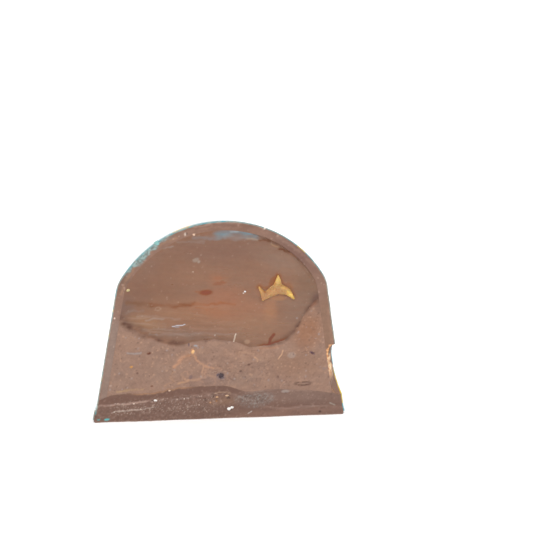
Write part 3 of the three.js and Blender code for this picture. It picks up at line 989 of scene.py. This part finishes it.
pralinePaint = {
    "ground": (160, 129, 113),
    "washes": [
        ((-10.5, 9.2), (2.2, 1.2), -25, (166, 132, 113), 0.5),
        ((-11.6, 5.2), (1.8, 2.4), 0, (154, 127, 113), 0.5),
        ((-6.5, 5.6), (2.6, 1.6), 0, (157, 129, 114), 0.5),
        ((3.5, 7.8), (3.2, 0.9), 0, (168, 132, 112), 0.5),
        ((9.9, 10.2), (1.7, 2.4), -15, (159, 116, 92), 0.85),
        # painted shade in the gap where caramel, praline and shell meet on the right
        ((11.2, 13.4), (0.7, 1.0), 0, (128, 99, 86), 0.6),
        ((10.4, 13.3), (0.6, 0.3), 30, (160, 108, 84), 0.6),
        ((8.8, 6.2), (3.2, 1.6), 0, (153, 119, 100), 0.6),
        ((-0.6, 4.6), (2.6, 0.8), 0, (152, 126, 116), 0.5),
        ((2.6, 4.6), (2.0, 0.8), 8, (156, 130, 116), 0.5),
        ((-3.9, 7.6), (1.4, 0.6), 25, (176, 136, 112), 0.5),
    ],
    "streaks": [
        ([(-3.5, 7.85), (-4.2, 7.5)], 0.14, (192, 142, 112), 0.7),
        ([(-4.4, 7.45), (-4.85, 6.95), (-5.3, 6.35)], 0.2, (204, 154, 124), 0.9),
        ([(-3.2, 7.8), (-2.85, 7.1), (-2.3, 6.6), (-1.8, 6.3), (-0.9, 6.0)], 0.13, (200, 152, 122), 0.8),
        ([(-2.0, 6.2), (-2.25, 5.05)], 0.1, (200, 158, 130), 0.8),
        ([(-2.15, 5.4), (-1.4, 5.2), (-0.8, 5.0)], 0.08, (192, 152, 126), 0.7),
        ([(-4.9, 4.35), (-4.3, 4.5), (-3.7, 4.65)], 0.12, (204, 160, 126), 0.8),
        ([(-9.5, 10.8), (-8.2, 10.1), (-6.4, 9.3), (-4.9, 9.0)], 0.26, (148, 104, 80), 0.5),
        ([(-4.6, 5.4), (-4.0, 4.7), (-3.0, 4.7), (-2.3, 5.0)], 0.13, (188, 148, 122), 0.6),
        ([(-5.4, 6.2), (-5.8, 5.2), (-5.4, 4.6), (-6.4, 4.2)], 0.13, (182, 142, 116), 0.5),
        ([(0.1, 8.4), (1.2, 7.6), (2.4, 7.1)], 0.13, (174, 140, 122), 0.5),
        ([(-10.75, 8.13), (-9.9, 8.0), (-9.2, 8.1)], 0.12, (166, 158, 156), 0.6),
        ([(2.2, 8.0), (3.4, 7.6), (4.1, 7.0)], 0.1, (190, 152, 128), 0.6),
        ([(-12.0, 3.5), (-10.6, 3.75), (-9.0, 3.7)], 0.12, (192, 158, 120), 0.55),
        ([(-12.6, 8.6), (-11.6, 8.0), (-11.4, 7.2)], 0.1, (182, 146, 122), 0.5),
        ([(7.6, 4.3), (8.3, 4.35), (10.6, 4.2)], 0.1, (178, 142, 122), 0.5),
        ([(4.4, 8.15), (5.6, 8.25), (7.2, 8.5)], 0.11, (182, 134, 108), 0.6),
    ],
    "spots": [
        ((-3.23, 8.08), (0.2, 0.26), 0, (248, 196, 138), 1.0),
        ((-3.3, 8.35), (0.14, 0.16), 0, (214, 158, 118), 0.8),
        ((-8.29, 8.05), (0.26, 0.16), 10, (104, 62, 50), 0.95),
        ((10.55, 7.45), (0.36, 0.14), -38, (100, 76, 92), 0.9),
        ((-10.26, 6.54), (0.2, 0.12), 10, (212, 152, 86), 0.9),
        ((3.21, 6.35), (0.2, 0.13), 0, (110, 82, 74), 0.85),
        ((2.24, 5.56), (0.15, 0.15), 0, (104, 80, 76), 0.8),
        ((6.6, 4.75), (0.13, 0.13), 0, (112, 84, 78), 0.8),
        ((-9.58, 5.71), (0.14, 0.12), 0, (108, 80, 76), 0.8),
        ((-3.49, 5.05), (0.2, 0.3), -25, (126, 104, 104), 0.7),
        ((-7.93, 4.09), (0.16, 0.1), 0, (112, 72, 60), 0.8),
        ((-2.95, 8.78), (0.26, 0.12), -15, (172, 176, 184), 0.75),
        ((-3.75, 9.0), (0.08, 0.3), 0, (98, 84, 96), 0.75),
        ((0.02, 5.05), (0.56, 0.46), -40, (134, 118, 118), 0.6),
        ((0.07, 5.0), (0.36, 0.3), -40, (118, 106, 114), 0.8),
        ((-0.35, 5.2), (0.2, 0.14), 30, (96, 86, 98), 0.8),
        ((9.53, 3.82), (1.0, 0.29), 0, (98, 73, 66), 1.0),
        ((9.53, 3.84), (0.8, 0.15), 0, (168, 138, 122), 1.0),
        ((12.0, 5.6), (0.3, 0.2), 0, (150, 132, 128), 0.4),
        ((-12.6, 4.3), (0.16, 0.14), 0, (196, 168, 154), 0.7),
        ((8.1, 7.3), (0.5, 0.4), 0, (176, 158, 148), 0.5),
    ],
    "lines": [
        ([(7.08, 7.94), (7.0, 7.4), (6.6, 6.9)], 0.07, (212, 168, 136), 0.9),
        ([(3.77, 7.24), (4.2, 6.9), (4.18, 6.62)], 0.06, (206, 162, 132), 0.85),
        ([(0.8, 4.9), (1.3, 4.6), (1.5, 4.4)], 0.06, (128, 100, 90), 0.6),
        ([(-1.0, 5.5), (-0.2, 5.7), (0.6, 5.6)], 0.05, (196, 166, 148), 0.5),
    ],
    "specks": [
        ((-13, 13, 3.5, 13), 330, (0.06, 0.14), (200, 160, 134), 0.55, 94),
        ((-13, 13, 3.5, 13), 260, (0.05, 0.12), (106, 82, 78), 0.6, 95),
        ((-13, 13, 3.5, 13), 90, (0.07, 0.16), (176, 166, 166), 0.5, 96),
    ],
    "wisps": [
        ((-13, 13, 3.5, 13), 46, (190, 152, 130), 0.32, 97),
        ((-6.5, 1, 4, 8), 12, (196, 152, 126), 0.4, 98),
    ],
    "mottlePale": (174, 140, 120),
    "mottleDark": (146, 118, 105),
    "grainPale": (182, 148, 128),
    "grainDark": (140, 112, 100),
}


def pralineTone(x, y, z):
    mottled = grain(x, z, (1.3, 0.9), 91)
    grains = grain(x, z, (0.6, 0.45), 92)
    colours = wash(
        plain(x, pralinePaint["ground"]),
        (0.4 * ramp(0.1, 0.9, mottled), pralinePaint["mottlePale"]),
        (0.4 * ramp(-0.1, -0.9, mottled), pralinePaint["mottleDark"]),
        (0.3 * ramp(0.3, 1.1, grains), pralinePaint["grainPale"]),
        (0.3 * ramp(-0.3, -1.1, grains), pralinePaint["grainDark"]),
    )
    colours = paintMarks(colours, x, z, pralinePaint, 93)
    # painted shade along the seam under the caramel
    colours = wash(colours, (seamShade(x, z), caramelPaint["seamShadow"]))
    colours = sprinkle(colours, x, z, pralinePaint["specks"])
    return wisps(colours, x, z, pralinePaint["wisps"])


# Candied splinter: cones and balls grown together into one crystal

def shapeSplinter():
    deselectAll()
    knots = splinterForm["knots"]
    parts = []
    for first, last in splinterForm["limbs"]:
        (x0, z0, r0), (x1, z1, r1) = knots[first], knots[last]
        start, end = Vector((x0, 0, z0)), Vector((x1, 0, z1))
        along = end - start
        bpy.ops.mesh.primitive_cone_add(
            vertices=10, radius1=r0 * mm, radius2=r1 * mm, depth=along.length * mm,
            location=(start + end) / 2 * mm, rotation=along.to_track_quat("Z", "Y").to_euler(),
        )
        parts.append(bpy.context.object)
    for x, z, radius in knots.values():
        place = (x * mm, 0, z * mm)
        bpy.ops.mesh.primitive_ico_sphere_add(subdivisions=2, radius=radius * mm, location=place)
        parts.append(bpy.context.object)
    splinter = joined(parts, "splinterPiece")
    bpy.ops.object.transform_apply(location=True, rotation=True, scale=True)
    changeShape(splinter, "REMESH", mode="VOXEL", voxel_size=splinterForm["voxel"] * mm)
    changeShape(splinter, "SMOOTH", factor=0.5, iterations=3)
    x, y, z = cornersOf(splinter).T / mm
    thick = (np.abs(y) / knots["body"][2]) ** splinterForm["rounding"]
    uneven = 1 + splinterForm["unevenness"] * grain(x, z, (0.5, 0.5), 101)
    y = np.where(y < 0, -splinterForm["proud"] * uneven, splinterForm["deep"]) * thick
    x = x + splinterForm["roughness"] * grain(z, y, (0.4, 0.5), 102)
    z = z + splinterForm["roughness"] * grain(x, y, (0.4, 0.5), 103)
    moveCorners(splinter, np.column_stack([x, y, z]) * mm)
    return splinter


splinterPaint = {
    "ground": (183, 137, 79),
    "washes": [
        ((6.2, 15.1), (1.0, 0.7), 0, (186, 134, 84), 0.8),
        ((6.4, 16.5), (0.35, 0.6), 0, (222, 184, 102), 0.9),
        ((7.9, 14.5), (0.7, 0.3), -40, (236, 190, 88), 0.95),
        ((4.9, 14.5), (0.7, 0.45), 35, (186, 134, 88), 0.8),
        ((4.85, 14.95), (0.25, 0.25), 0, (160, 102, 62), 0.8),
        ((4.3, 15.3), (0.2, 0.5), 15, (206, 158, 92), 0.7),
    ],
    "streaks": [
        ([(5.3, 14.7), (6.0, 15.2), (6.3, 16.2)], 0.12, (218, 178, 112), 0.5),
        ([(6.7, 15.5), (7.5, 15.0), (8.05, 14.35)], 0.12, (244, 204, 110), 0.6),
    ],
    "deep": (170, 118, 76),
}


def splinterTone(x, y, z):
    colours = paintMarks(plain(x, splinterPaint["ground"]), x, z, splinterPaint, 104)
    return wash(colours, (0.5 * ramp(0.1, 0.5, y), splinterPaint["deep"]))


# Crumbs on the cut face and the torn flake of skin at its rim

crumbRoughness = 0.22
crumbs = [
    # place in the cut, size, tone
    ((-7.5, 2.38), (0.2, 0.12, 0.12), (250, 244, 238)),
    ((-5.9, 3.5), (0.13, 0.09, 0.1), (222, 190, 166)),
    ((-0.44, 2.62), (0.16, 0.1, 0.1), (206, 164, 128)),
    ((0.73, 2.75), (0.17, 0.1, 0.09), (212, 178, 146)),
    ((-1.2, 2.0), (0.11, 0.08, 0.1), (198, 152, 118)),
    ((0.98, 1.13), (0.2, 0.16, 0.17), (252, 248, 244)),
    ((1.3, 1.3), (0.19, 0.14, 0.15), (250, 246, 240)),
    ((-10.68, 15.62), (0.2, 0.12, 0.18), (214, 196, 146)),
    ((2.6, 15.07), (0.1, 0.08, 0.09), (255, 255, 255)),
    ((2.42, 14.9), (0.07, 0.06, 0.06), (240, 226, 214)),
    ((-12.2, 12.35), (0.1, 0.08, 0.1), (236, 206, 190)),
    ((-3.25, 8.1), (0.16, 0.12, 0.2), (250, 198, 140)),
    ((-4.2, 2.5), (0.1, 0.08, 0.08), (228, 208, 190)),
    ((-10.0, 2.15), (0.12, 0.08, 0.08), (216, 192, 176)),
    ((-12.2, 1.22), (0.09, 0.07, 0.07), (214, 196, 182)),
    ((-11.2, 1.3), (0.08, 0.07, 0.06), (210, 190, 176)),
    ((-9.2, 1.45), (0.09, 0.07, 0.07), (214, 194, 178)),
    ((-2.5, 1.75), (0.09, 0.07, 0.07), (206, 184, 170)),
    ((4.75, 22.48), (0.12, 0.1, 0.09), (244, 232, 220)),
    ((-3.3, 21.92), (0.14, 0.1, 0.12), (228, 192, 166)),
]


tornFlake = {
    "corners": [(-7.87, 21.07), (-7.39, 21.36), (-7.2, 20.86), (-7.48, 20.77)],
    "thick": 0.1,
    "proud": 0.06,
    "tone": (146, 194, 190),
}


def shapeFlake():
    deselectAll()
    bpy.ops.mesh.primitive_cube_add(size=1)
    flake = bpy.context.object
    corners = cornersOf(flake)
    quarter = {(-0.5, -0.5): 3, (-0.5, 0.5): 0, (0.5, 0.5): 1, (0.5, -0.5): 2}
    flat = np.array([tornFlake["corners"][quarter[x, z]] for x, _, z in corners.round(1)])
    lie = cutDepth(flat[:, 0], flat[:, 1]) - tornFlake["proud"]
    y = lie + tornFlake["thick"] * (corners[:, 1] > 0)
    moveCorners(flake, np.column_stack([flat[:, 0], y, flat[:, 1]]) * mm)
    paint(flake, lambda x, y, z: plain(x, tornFlake["tone"]))
    return flake


def shapeCrumbs():
    made = [shapeFlake()]
    for k, (at, size, colour) in enumerate(crumbs):
        deselectAll()
        place = np.array([at[0], cutDepth(np.array([at[0]]), np.array([at[1]]))[0], at[1]])
        bpy.ops.mesh.primitive_ico_sphere_add(subdivisions=3, radius=1)
        crumb = bpy.context.object
        corners = cornersOf(crumb)
        x, y, z = corners.T
        rough = 1 + crumbRoughness * grain(x + y, z - y, (0.9, 0.9), 110 + 3 * k)
        moveCorners(crumb, (corners * rough[:, None] * size + place) * mm)
        paint(crumb, lambda x, y, z: plain(x, colour))
        made.append(crumb)
    return joined(made, "crumbs")


# Skin: yellow splashes, kept as a distance from their edge

splashes = {
    # places on the dome as (turn behind the cut from +X in degrees, height), with a half width
    "strokes": [
        [(6, 2.0, 0.45), (8, 3.4, 0.6), (13, 5.2, 0.45)],
        [(7, 8.3, 0.25), (7, 9.2, 0.25)],
        [(20, 1.0, 0.5), (24, 5.0, 0.35), (27, 7.4, 0.75), (31, 9.4, 0.45), (36, 12.6, 0.3), (42, 15.2, 0.5),
         (47, 16.8, 0.2)],
        [(27, 7.4, 0.7), (21, 8.6, 0.35), (17, 10.4, 0.2)],
        [(58, 4.6, 0.9), (62, 5.8, 1.3), (66, 7.6, 1.0), (66, 9.6, 0.4), (70, 11.6, 0.25)],
        [(62, 5.8, 0.8), (56, 3.2, 0.45), (54, 0.8, 0.3)],
        [(62, 5.8, 0.8), (70, 3.6, 0.4), (73, 0.6, 0.35)],
        [(66, 7.6, 0.5), (75, 6.0, 0.3), (84, 3.0, 0.25), (88, 1.4, 0.35)],
        [(104, 16.4, 0.2), (100, 14.0, 0.3), (97, 11.4, 0.55), (94, 9.6, 0.25), (92, 8.2, 0.15)],
        [(132, 2.0, 0.3), (136, 4.8, 0.45), (139, 7.0, 0.3), (144, 10.4, 0.6), (148, 12.6, 0.3),
         (151, 14.0, 0.2)],
        [(144, 10.4, 0.5), (137, 12.2, 0.25), (133, 13.4, 0.15)],
        [(165, 8.6, 0.5), (168, 9.8, 0.75), (170, 11.2, 0.35)],
        [(112, 21.6, 0.25), (118, 20.6, 0.5), (123, 19.2, 0.3), (126, 17.6, 0.15)],
        [(60, 22.4, 0.2), (52, 21.3, 0.65), (47, 20.4, 0.35)],
        [(12, 20.1, 0.4), (17, 19.2, 0.75), (23, 18.2, 0.4)],
        [(160, 22.2, 0.35), (152, 22.5, 0.7), (140, 22.7, 0.3)],
    ],
    # (turn, height), half width, half height, lean in degrees
    "ovals": [
        ((84, 19.4), 1.3, 0.75, 30), ((10, 14.6), 0.7, 0.5, 0), ((158, 17.2), 0.8, 1.3, -25),
        ((118, 7.6), 0.45, 0.6, 0), ((40, 18.6), 0.5, 0.4, 0), ((76, 15.2), 0.4, 0.4, 0),
        ((172, 5.0), 0.35, 0.5, 0), ((108, 3.4), 0.5, 0.4, 0),
    ],
    "dots": 130,
    "dotSize": (0.09, 0.34),
    "dotTop": 23.4,
    "capStretch": 1.6,           # how much longer the way up is on the cap than its height
    "farthest": 5.0,
    "wobble": 0.1,
    "sway": 0.45,
    "swell": 1.4,
}


def onDome(turn, height):
    # a place on the outside of the mould
    wall = wallRadius(height)
    cap = math.sqrt(max(capRadius ** 2 - (height - capCentre) ** 2, 0)) if height > capCentre else wall
    reach = min(wall, cap)
    angle = math.radians(turn)
    return Vector((reach * math.cos(angle), reach * math.sin(angle) - mould["cutOffset"], height))


def splashDistance(x, y, z):
    sway = splashes["sway"]
    drift = [sway * grain(x + 7 * k, z + y, (2.6, 2.6), 133 + k) for k in range(3)]
    places = np.column_stack([x + drift[0], y + drift[1], z + drift[2]])
    distance = np.full(len(x), splashes["farthest"])
    for stroke in splashes["strokes"]:
        for (turnA, heightA, widthA), (turnB, heightB, widthB) in zip(stroke, stroke[1:]):
            a, b = np.array(onDome(turnA, heightA)), np.array(onDome(turnB, heightB))
            span = b - a
            along = np.clip((places - a) @ span / (span @ span), 0, 1)
            width = splashes["swell"] * (widthA + (widthB - widthA) * ramp(0, 1, along))
            reach = np.linalg.norm(places - a - along[:, None] * span, axis=1)
            distance = np.minimum(distance, reach - width)
    turns = np.degrees(np.arctan2(y + mould["cutOffset"], x))
    for (turn, height), width, tall, lean in splashes["ovals"]:
        middle = onDome(turn, height)
        across = (turns - turn) * math.radians(1) * np.hypot(middle.x, middle.y + mould["cutOffset"])
        up = (z - height) * (1 if height < mould["shoulderHeight"] else splashes["capStretch"])
        reach = spotReach(across, up, (0, 0), (width, tall), lean) - 1
        distance = np.minimum(distance, reach * min(width, tall))
    chance = np.random.default_rng(131)
    smallest, largest = splashes["dotSize"]
    for _ in range(splashes["dots"]):
        middle = np.array(onDome(chance.uniform(0, 180), splashes["dotTop"] * chance.uniform(0.02, 1) ** 0.8))
        size = smallest + (largest - smallest) * chance.uniform() ** 3
        distance = np.minimum(distance, np.linalg.norm(places - middle, axis=1) - size)
    return distance + splashes["wobble"] * grain(turns / 4, z, (1, 1), 132)


wear = {
    "cutEdge": (0.06, 0.16),     # how far behind the cut the rubbed edge reaches
    "rubbed": 0.45,
    "onWall": 0.35,
    "onRight": 0.2,
    "patchy": 0.4,
    "keptYellow": 0.85,
    "lip": 0.85,
}


def wornAt(x, y, z):
    # 0 to 1 where the knife or the foot rubbed the colour away
    inCut = 1 - ramp(*wear["cutEdge"], y - cutDepth(x, z))
    patchy = wear["patchy"] * grain(x + z, y, (0.6, 0.6), 141)
    wall = wear["onWall"] * ramp(17.5, 15.5, z)
    kept = wear["keptYellow"] * (ramp(5.4, 4.6, z) * (x > 0))
    worn = inCut * np.clip(wear["rubbed"] + wall + wear["onRight"] * (x > 0) + patchy, 0, 1) * (1 - kept)
    lip = ramp(-13.6, -14.1, x) * ramp(2.0, 1.7, z) * ramp(0.9, 0.3, y)
    return np.maximum(worn, wear["lip"] * lip)


def layOut(piece, name, values):
    layer = piece.data.attributes.new(name, "FLOAT", "POINT")
    layer.data.foreach_set("value", values)


# Materials

def put(tree, kind, inputs=(), **settings):
    node = tree.nodes.new("ShaderNode" + kind)
    for name, value in settings.items():
        setattr(node, name, value)
    for name, value in dict(inputs).items():
        socket = node.inputs[name]
        if isinstance(value, bpy.types.NodeSocket):
            tree.links.new(value, socket)
        else:
            socket.default_value = value
    return node


def startMaterial(name, shaderValues):
    material = bpy.data.materials.new(name)
    material.use_nodes = True
    tree = material.node_tree
    shader = tree.nodes["Principled BSDF"]
    for socket, value in shaderValues.items():
        shader.inputs[socket].default_value = value
    place = put(tree, "VectorMath", {1: (1 / mm,) * 3}, operation="MULTIPLY")
    tree.links.new(put(tree, "TexCoord").outputs["Object"], place.inputs[0])
    return material, tree, shader, place.outputs[0]


def noise(tree, place, perMm, detail=4, stretch=None):
    if stretch:
        place = put(tree, "Mapping", {"Vector": place, "Scale": stretch}).outputs[0]
    values = {"Vector": place, "Scale": perMm, "Detail": detail, "Roughness": 0.6}
    return put(tree, "TexNoise", values).outputs["Fac"]


def spread(tree, value, low, high, fromLow=0.3, fromHigh=0.7):
    ends = {"Value": value, "From Min": fromLow, "From Max": fromHigh, "To Min": low, "To Max": high}
    return put(tree, "MapRange", ends).outputs[0]


def mixColours(tree, share, first, second, blend="MIX"):
    return put(tree, "Mix", {0: share, 6: first, 7: second}, data_type="RGBA", blend_type=blend).outputs[2]


def bump(tree, shader, heights):
    # heights as (noise value, height in mm)
    normal = None
    for value, height in heights:
        step = put(tree, "Bump", {"Height": value, "Distance": height * mm, "Strength": 1.0})
        if normal:
            tree.links.new(normal, step.inputs["Normal"])
        normal = step.outputs[0]
    tree.links.new(normal, shader.inputs["Normal"])


foodLooks = {
    # grain over the paint as noise per mm and strength; noises as per mm, detail and stretch
    "chocolate": {
        "shader": {},
        "grain": (3.2, 0.07),
        "gloss": (0.7, 3),
        "roughness": (0.38, 0.58),
        "bumps": [((2.2, 5), 0.035), ((9, 3), 0.01)],
    },
    "caramel": {
        "shader": {"Subsurface Weight": 0.1, "Subsurface Scale": 0.0006},
        "grain": (1.6, 0.05),
        "gloss": (1.0, 4, (0.25, 1, 1.6)),
        "roughness": (0.26, 0.5),
        "bumps": [((1.6, 4, (0.2, 1, 1.3)), 0.025), ((5, 3), 0.006)],
    },
    "praline": {
        "shader": {},
        "grain": (4.5, 0.08),
        "gloss": (1.5, 4),
        "roughness": (0.5, 0.8),
        "bumps": [((2.2, 6), 0.05), ((9, 3), 0.01)],
    },
    "candied": {
        "shader": {
            "Coat Weight": 0.6, "Coat Roughness": 0.12,
            "Subsurface Weight": 0.35, "Subsurface Scale": 0.0006,
        },
        "grain": (3.0, 0.12),
        "gloss": (3.0, 4),
        "roughness": (0.18, 0.4),
        "bumps": [((2.6, 4), 0.06)],
    },
}


def foodMaterial(name):
    look = foodLooks[name]
    material, tree, shader, place = startMaterial(name, look["shader"])
    fine, amount = look["grain"]
    painted = put(tree, "Attribute", attribute_name="tone").outputs["Color"]
    shade = spread(tree, noise(tree, place, fine), 1 - amount, 1 + amount)
    tree.links.new(mixColours(tree, 1.0, painted, shade, "MULTIPLY"), shader.inputs["Base Color"])
    glossy = noise(tree, place, *look["gloss"])
    tree.links.new(spread(tree, glossy, *look["roughness"]), shader.inputs["Roughness"])
    bump(tree, shader, [(noise(tree, place, *pattern), height) for pattern, height in look["bumps"]])
    return material


skinLook = {
    "tones": {
        "turquoise": (84, 160, 171),
        "pale": (96, 171, 181),
        "speck": (206, 232, 228),
        "yellow": (226, 194, 52),
        "yellowDeep": (204, 172, 42),
        "rubbed": (128, 122, 114),
        "chalky": (176, 178, 166),
    },
    "shader": {"Roughness": 0.16, "Coat Weight": 0.7, "Coat Roughness": 0.04},
    "wornRoughness": 0.6,
    "clouds": (0.35, 3),
    "yellowClouds": (0.9, 3),
    "chalk": (3.0, 3),
    "specksPerMm": 1.5,
    "speckSize": 0.2,
    "unspeckled": 0.45,          # the share of the cells that holds no speck
    "speckEdge": 0.03,
    "splashEdge": 0.04,
    "splashRise": 0.012,
    "dents": (0.5, 2),
    "dentDepth": 0.015,
}


def skinMaterial():
    material, tree, shader, place = startMaterial("skin", skinLook["shader"])
    colour = {name: (*bareTone(tone(*value)), 1) for name, value in skinLook["tones"].items()}

    def clouded(pattern, first, second):
        cloudy = spread(tree, noise(tree, place, *skinLook[pattern]), 0.0, 1.0)
        return mixColours(tree, cloudy, colour[first], colour[second])

    ground = clouded("clouds", "turquoise", "pale")
    cells = put(tree, "TexVoronoi", {"Vector": place, "Scale": skinLook["specksPerMm"], "Randomness": 1.0})
    chosen = put(tree, "SeparateColor", {"Color": cells.outputs["Color"]}).outputs[0]
    size = spread(tree, chosen, 0.0, skinLook["speckSize"], skinLook["unspeckled"], 1.0)
    inside = put(tree, "Math", {0: size, 1: cells.outputs["Distance"]}, operation="SUBTRACT").outputs[0]
    speck = spread(tree, inside, 0.0, 0.8, 0.0, skinLook["speckEdge"])
    speckled = mixColours(tree, speck, ground, colour["speck"])
    edge = put(tree, "Attribute", attribute_name="splash").outputs["Fac"]
    share = spread(tree, edge, 1.0, 0.0, -skinLook["splashEdge"], skinLook["splashEdge"])
    coloured = mixColours(tree, share, speckled, clouded("yellowClouds", "yellow", "yellowDeep"))
    worn = put(tree, "Attribute", attribute_name="worn").outputs["Fac"]
    whole = mixColours(tree, worn, coloured, clouded("chalk", "rubbed", "chalky"))
    tree.links.new(whole, shader.inputs["Base Color"])
    smooth, dull = skinLook["shader"]["Roughness"], skinLook["wornRoughness"]
    tree.links.new(spread(tree, worn, smooth, dull, 0.0, 1.0), shader.inputs["Roughness"])
    dents = noise(tree, place, *skinLook["dents"])
    bump(tree, shader, [(dents, skinLook["dentDepth"]), (share, skinLook["splashRise"])])
    return material


# Studio

studio = {
    "cameraPlace": Vector((-43.18, -290.82, 105.11)) * mm,   # from the middle of the cut's foot
    "turn": 9.408,           # how far the lens looks to the right of +Y, in degrees
    "down": 16.468,          # and below level
    "roll": 1.154,
    "lens": 183.8,
    "clip": (0.01, 10),
    "floorSize": 3.0,
    "floorRoughness": 0.9,
    "floorColour": (0.94, 0.94, 0.94, 1.0),
    "skyColour": (1.0, 1.0, 1.0, 1.0),
    "skyStrength": 0.75,
    "exposure": 1.27,        # how much brighter a facing surface shows than its own tone
    "sheen": 0.042,          # and the pale gloss that lies over it
    "darkest": 0.003,
}
softboxes = {
    "above front": {"place": (-0.12, -0.3, 0.55), "size": (0.5, 0.35), "power": 2.2},
    "front left": {"place": (-0.45, -0.35, 0.3), "size": (0.35, 0.45), "power": 0.9},
    "right": {"place": (0.5, -0.1, 0.3), "size": (0.3, 0.4), "power": 0.6},
    "back": {"place": (0.1, 0.45, 0.5), "size": (0.6, 0.4), "power": 1.4},
}


def addCamera():
    turn = math.radians(studio["turn"])
    down = math.radians(studio["down"])
    ahead = Vector((math.sin(turn) * math.cos(down), math.cos(turn) * math.cos(down), -math.sin(down)))
    rolled = Quaternion((0, 0, 1), math.radians(studio["roll"]))
    bpy.ops.object.camera_add(location=cutMiddle + studio["cameraPlace"])
    camera = bpy.context.object
    camera.name = "camera"
    camera.rotation_mode = "QUATERNION"
    camera.rotation_quaternion = ahead.to_track_quat("-Z", "Y") @ rolled
    camera.data.lens = studio["lens"]
    camera.data.clip_start, camera.data.clip_end = studio["clip"]
    bpy.context.scene.camera = camera


def addFloor():
    deselectAll()
    bpy.ops.mesh.primitive_plane_add(size=studio["floorSize"])
    floor = bpy.context.object
    floor.name = "floor"
    material = bpy.data.materials.new("paleFloor")
    material.use_nodes = True
    shader = material.node_tree.nodes["Principled BSDF"]
    shader.inputs["Base Color"].default_value = studio["floorColour"]
    shader.inputs["Roughness"].default_value = studio["floorRoughness"]
    floor.data.materials.append(material)


def addLights():
    world = bpy.data.worlds.new("sky")
    world.use_nodes = True
    sky = world.node_tree.nodes["Background"]
    sky.inputs["Color"].default_value = studio["skyColour"]
    sky.inputs["Strength"].default_value = studio["skyStrength"]
    bpy.context.scene.world = world
    for name, box in softboxes.items():
        place = Vector(box["place"])
        bpy.ops.object.light_add(type="AREA", location=place)
        light = bpy.context.object
        light.name = name
        light.data.shape = "RECTANGLE"
        light.data.size, light.data.size_y = box["size"]
        light.data.energy = box["power"]
        light.rotation_mode = "QUATERNION"
        light.rotation_quaternion = (-place).to_track_quat("-Z", "Y")
    view = bpy.context.scene.view_settings
    view.view_transform = "Standard"
    view.look = "None"


def finishPiece(piece, material, node=None, sharp=35):
    pick(piece)
    moveCorners(piece, cornersOf(piece) + np.array(cutMiddle))
    bpy.ops.object.shade_smooth_by_angle(angle=math.radians(sharp))
    piece.data.materials.clear()
    piece.data.materials.append(material)
    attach(piece, "root")
    if node:
        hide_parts(node)


deselectAll()
addCamera()
addFloor()
addLights()
print("studio ready")

skinPiece, shellPiece, caramelPiece, pralinePiece, basePiece = shapeLayers()
splinterPiece = shapeSplinter()
crumbsPiece = shapeCrumbs()
print("small pieces shaped")

paint(shellPiece, shellTone)
paint(basePiece, baseTone)
paint(caramelPiece, caramelTone)
paint(pralinePiece, pralineTone)
paint(splinterPiece, splinterTone)
skinPlaces = (cornersOf(skinPiece) / mm).T
layOut(skinPiece, "splash", splashDistance(*skinPlaces))
layOut(skinPiece, "worn", wornAt(*skinPlaces))
print("pieces painted")

chocolate = foodMaterial("chocolate")
finishPiece(skinPiece, skinMaterial(), "coloured_skin", sharp=50)
finishPiece(shellPiece, chocolate, "chocolate_shell")
finishPiece(caramelPiece, foodMaterial("caramel"), "caramel_filling")
finishPiece(pralinePiece, foodMaterial("praline"), "praline_filling")
finishPiece(basePiece, chocolate, "chocolate_base")
finishPiece(splinterPiece, foodMaterial("candied"), "candied_splinter")
finishPiece(crumbsPiece, chocolate)
print("pieces finished")
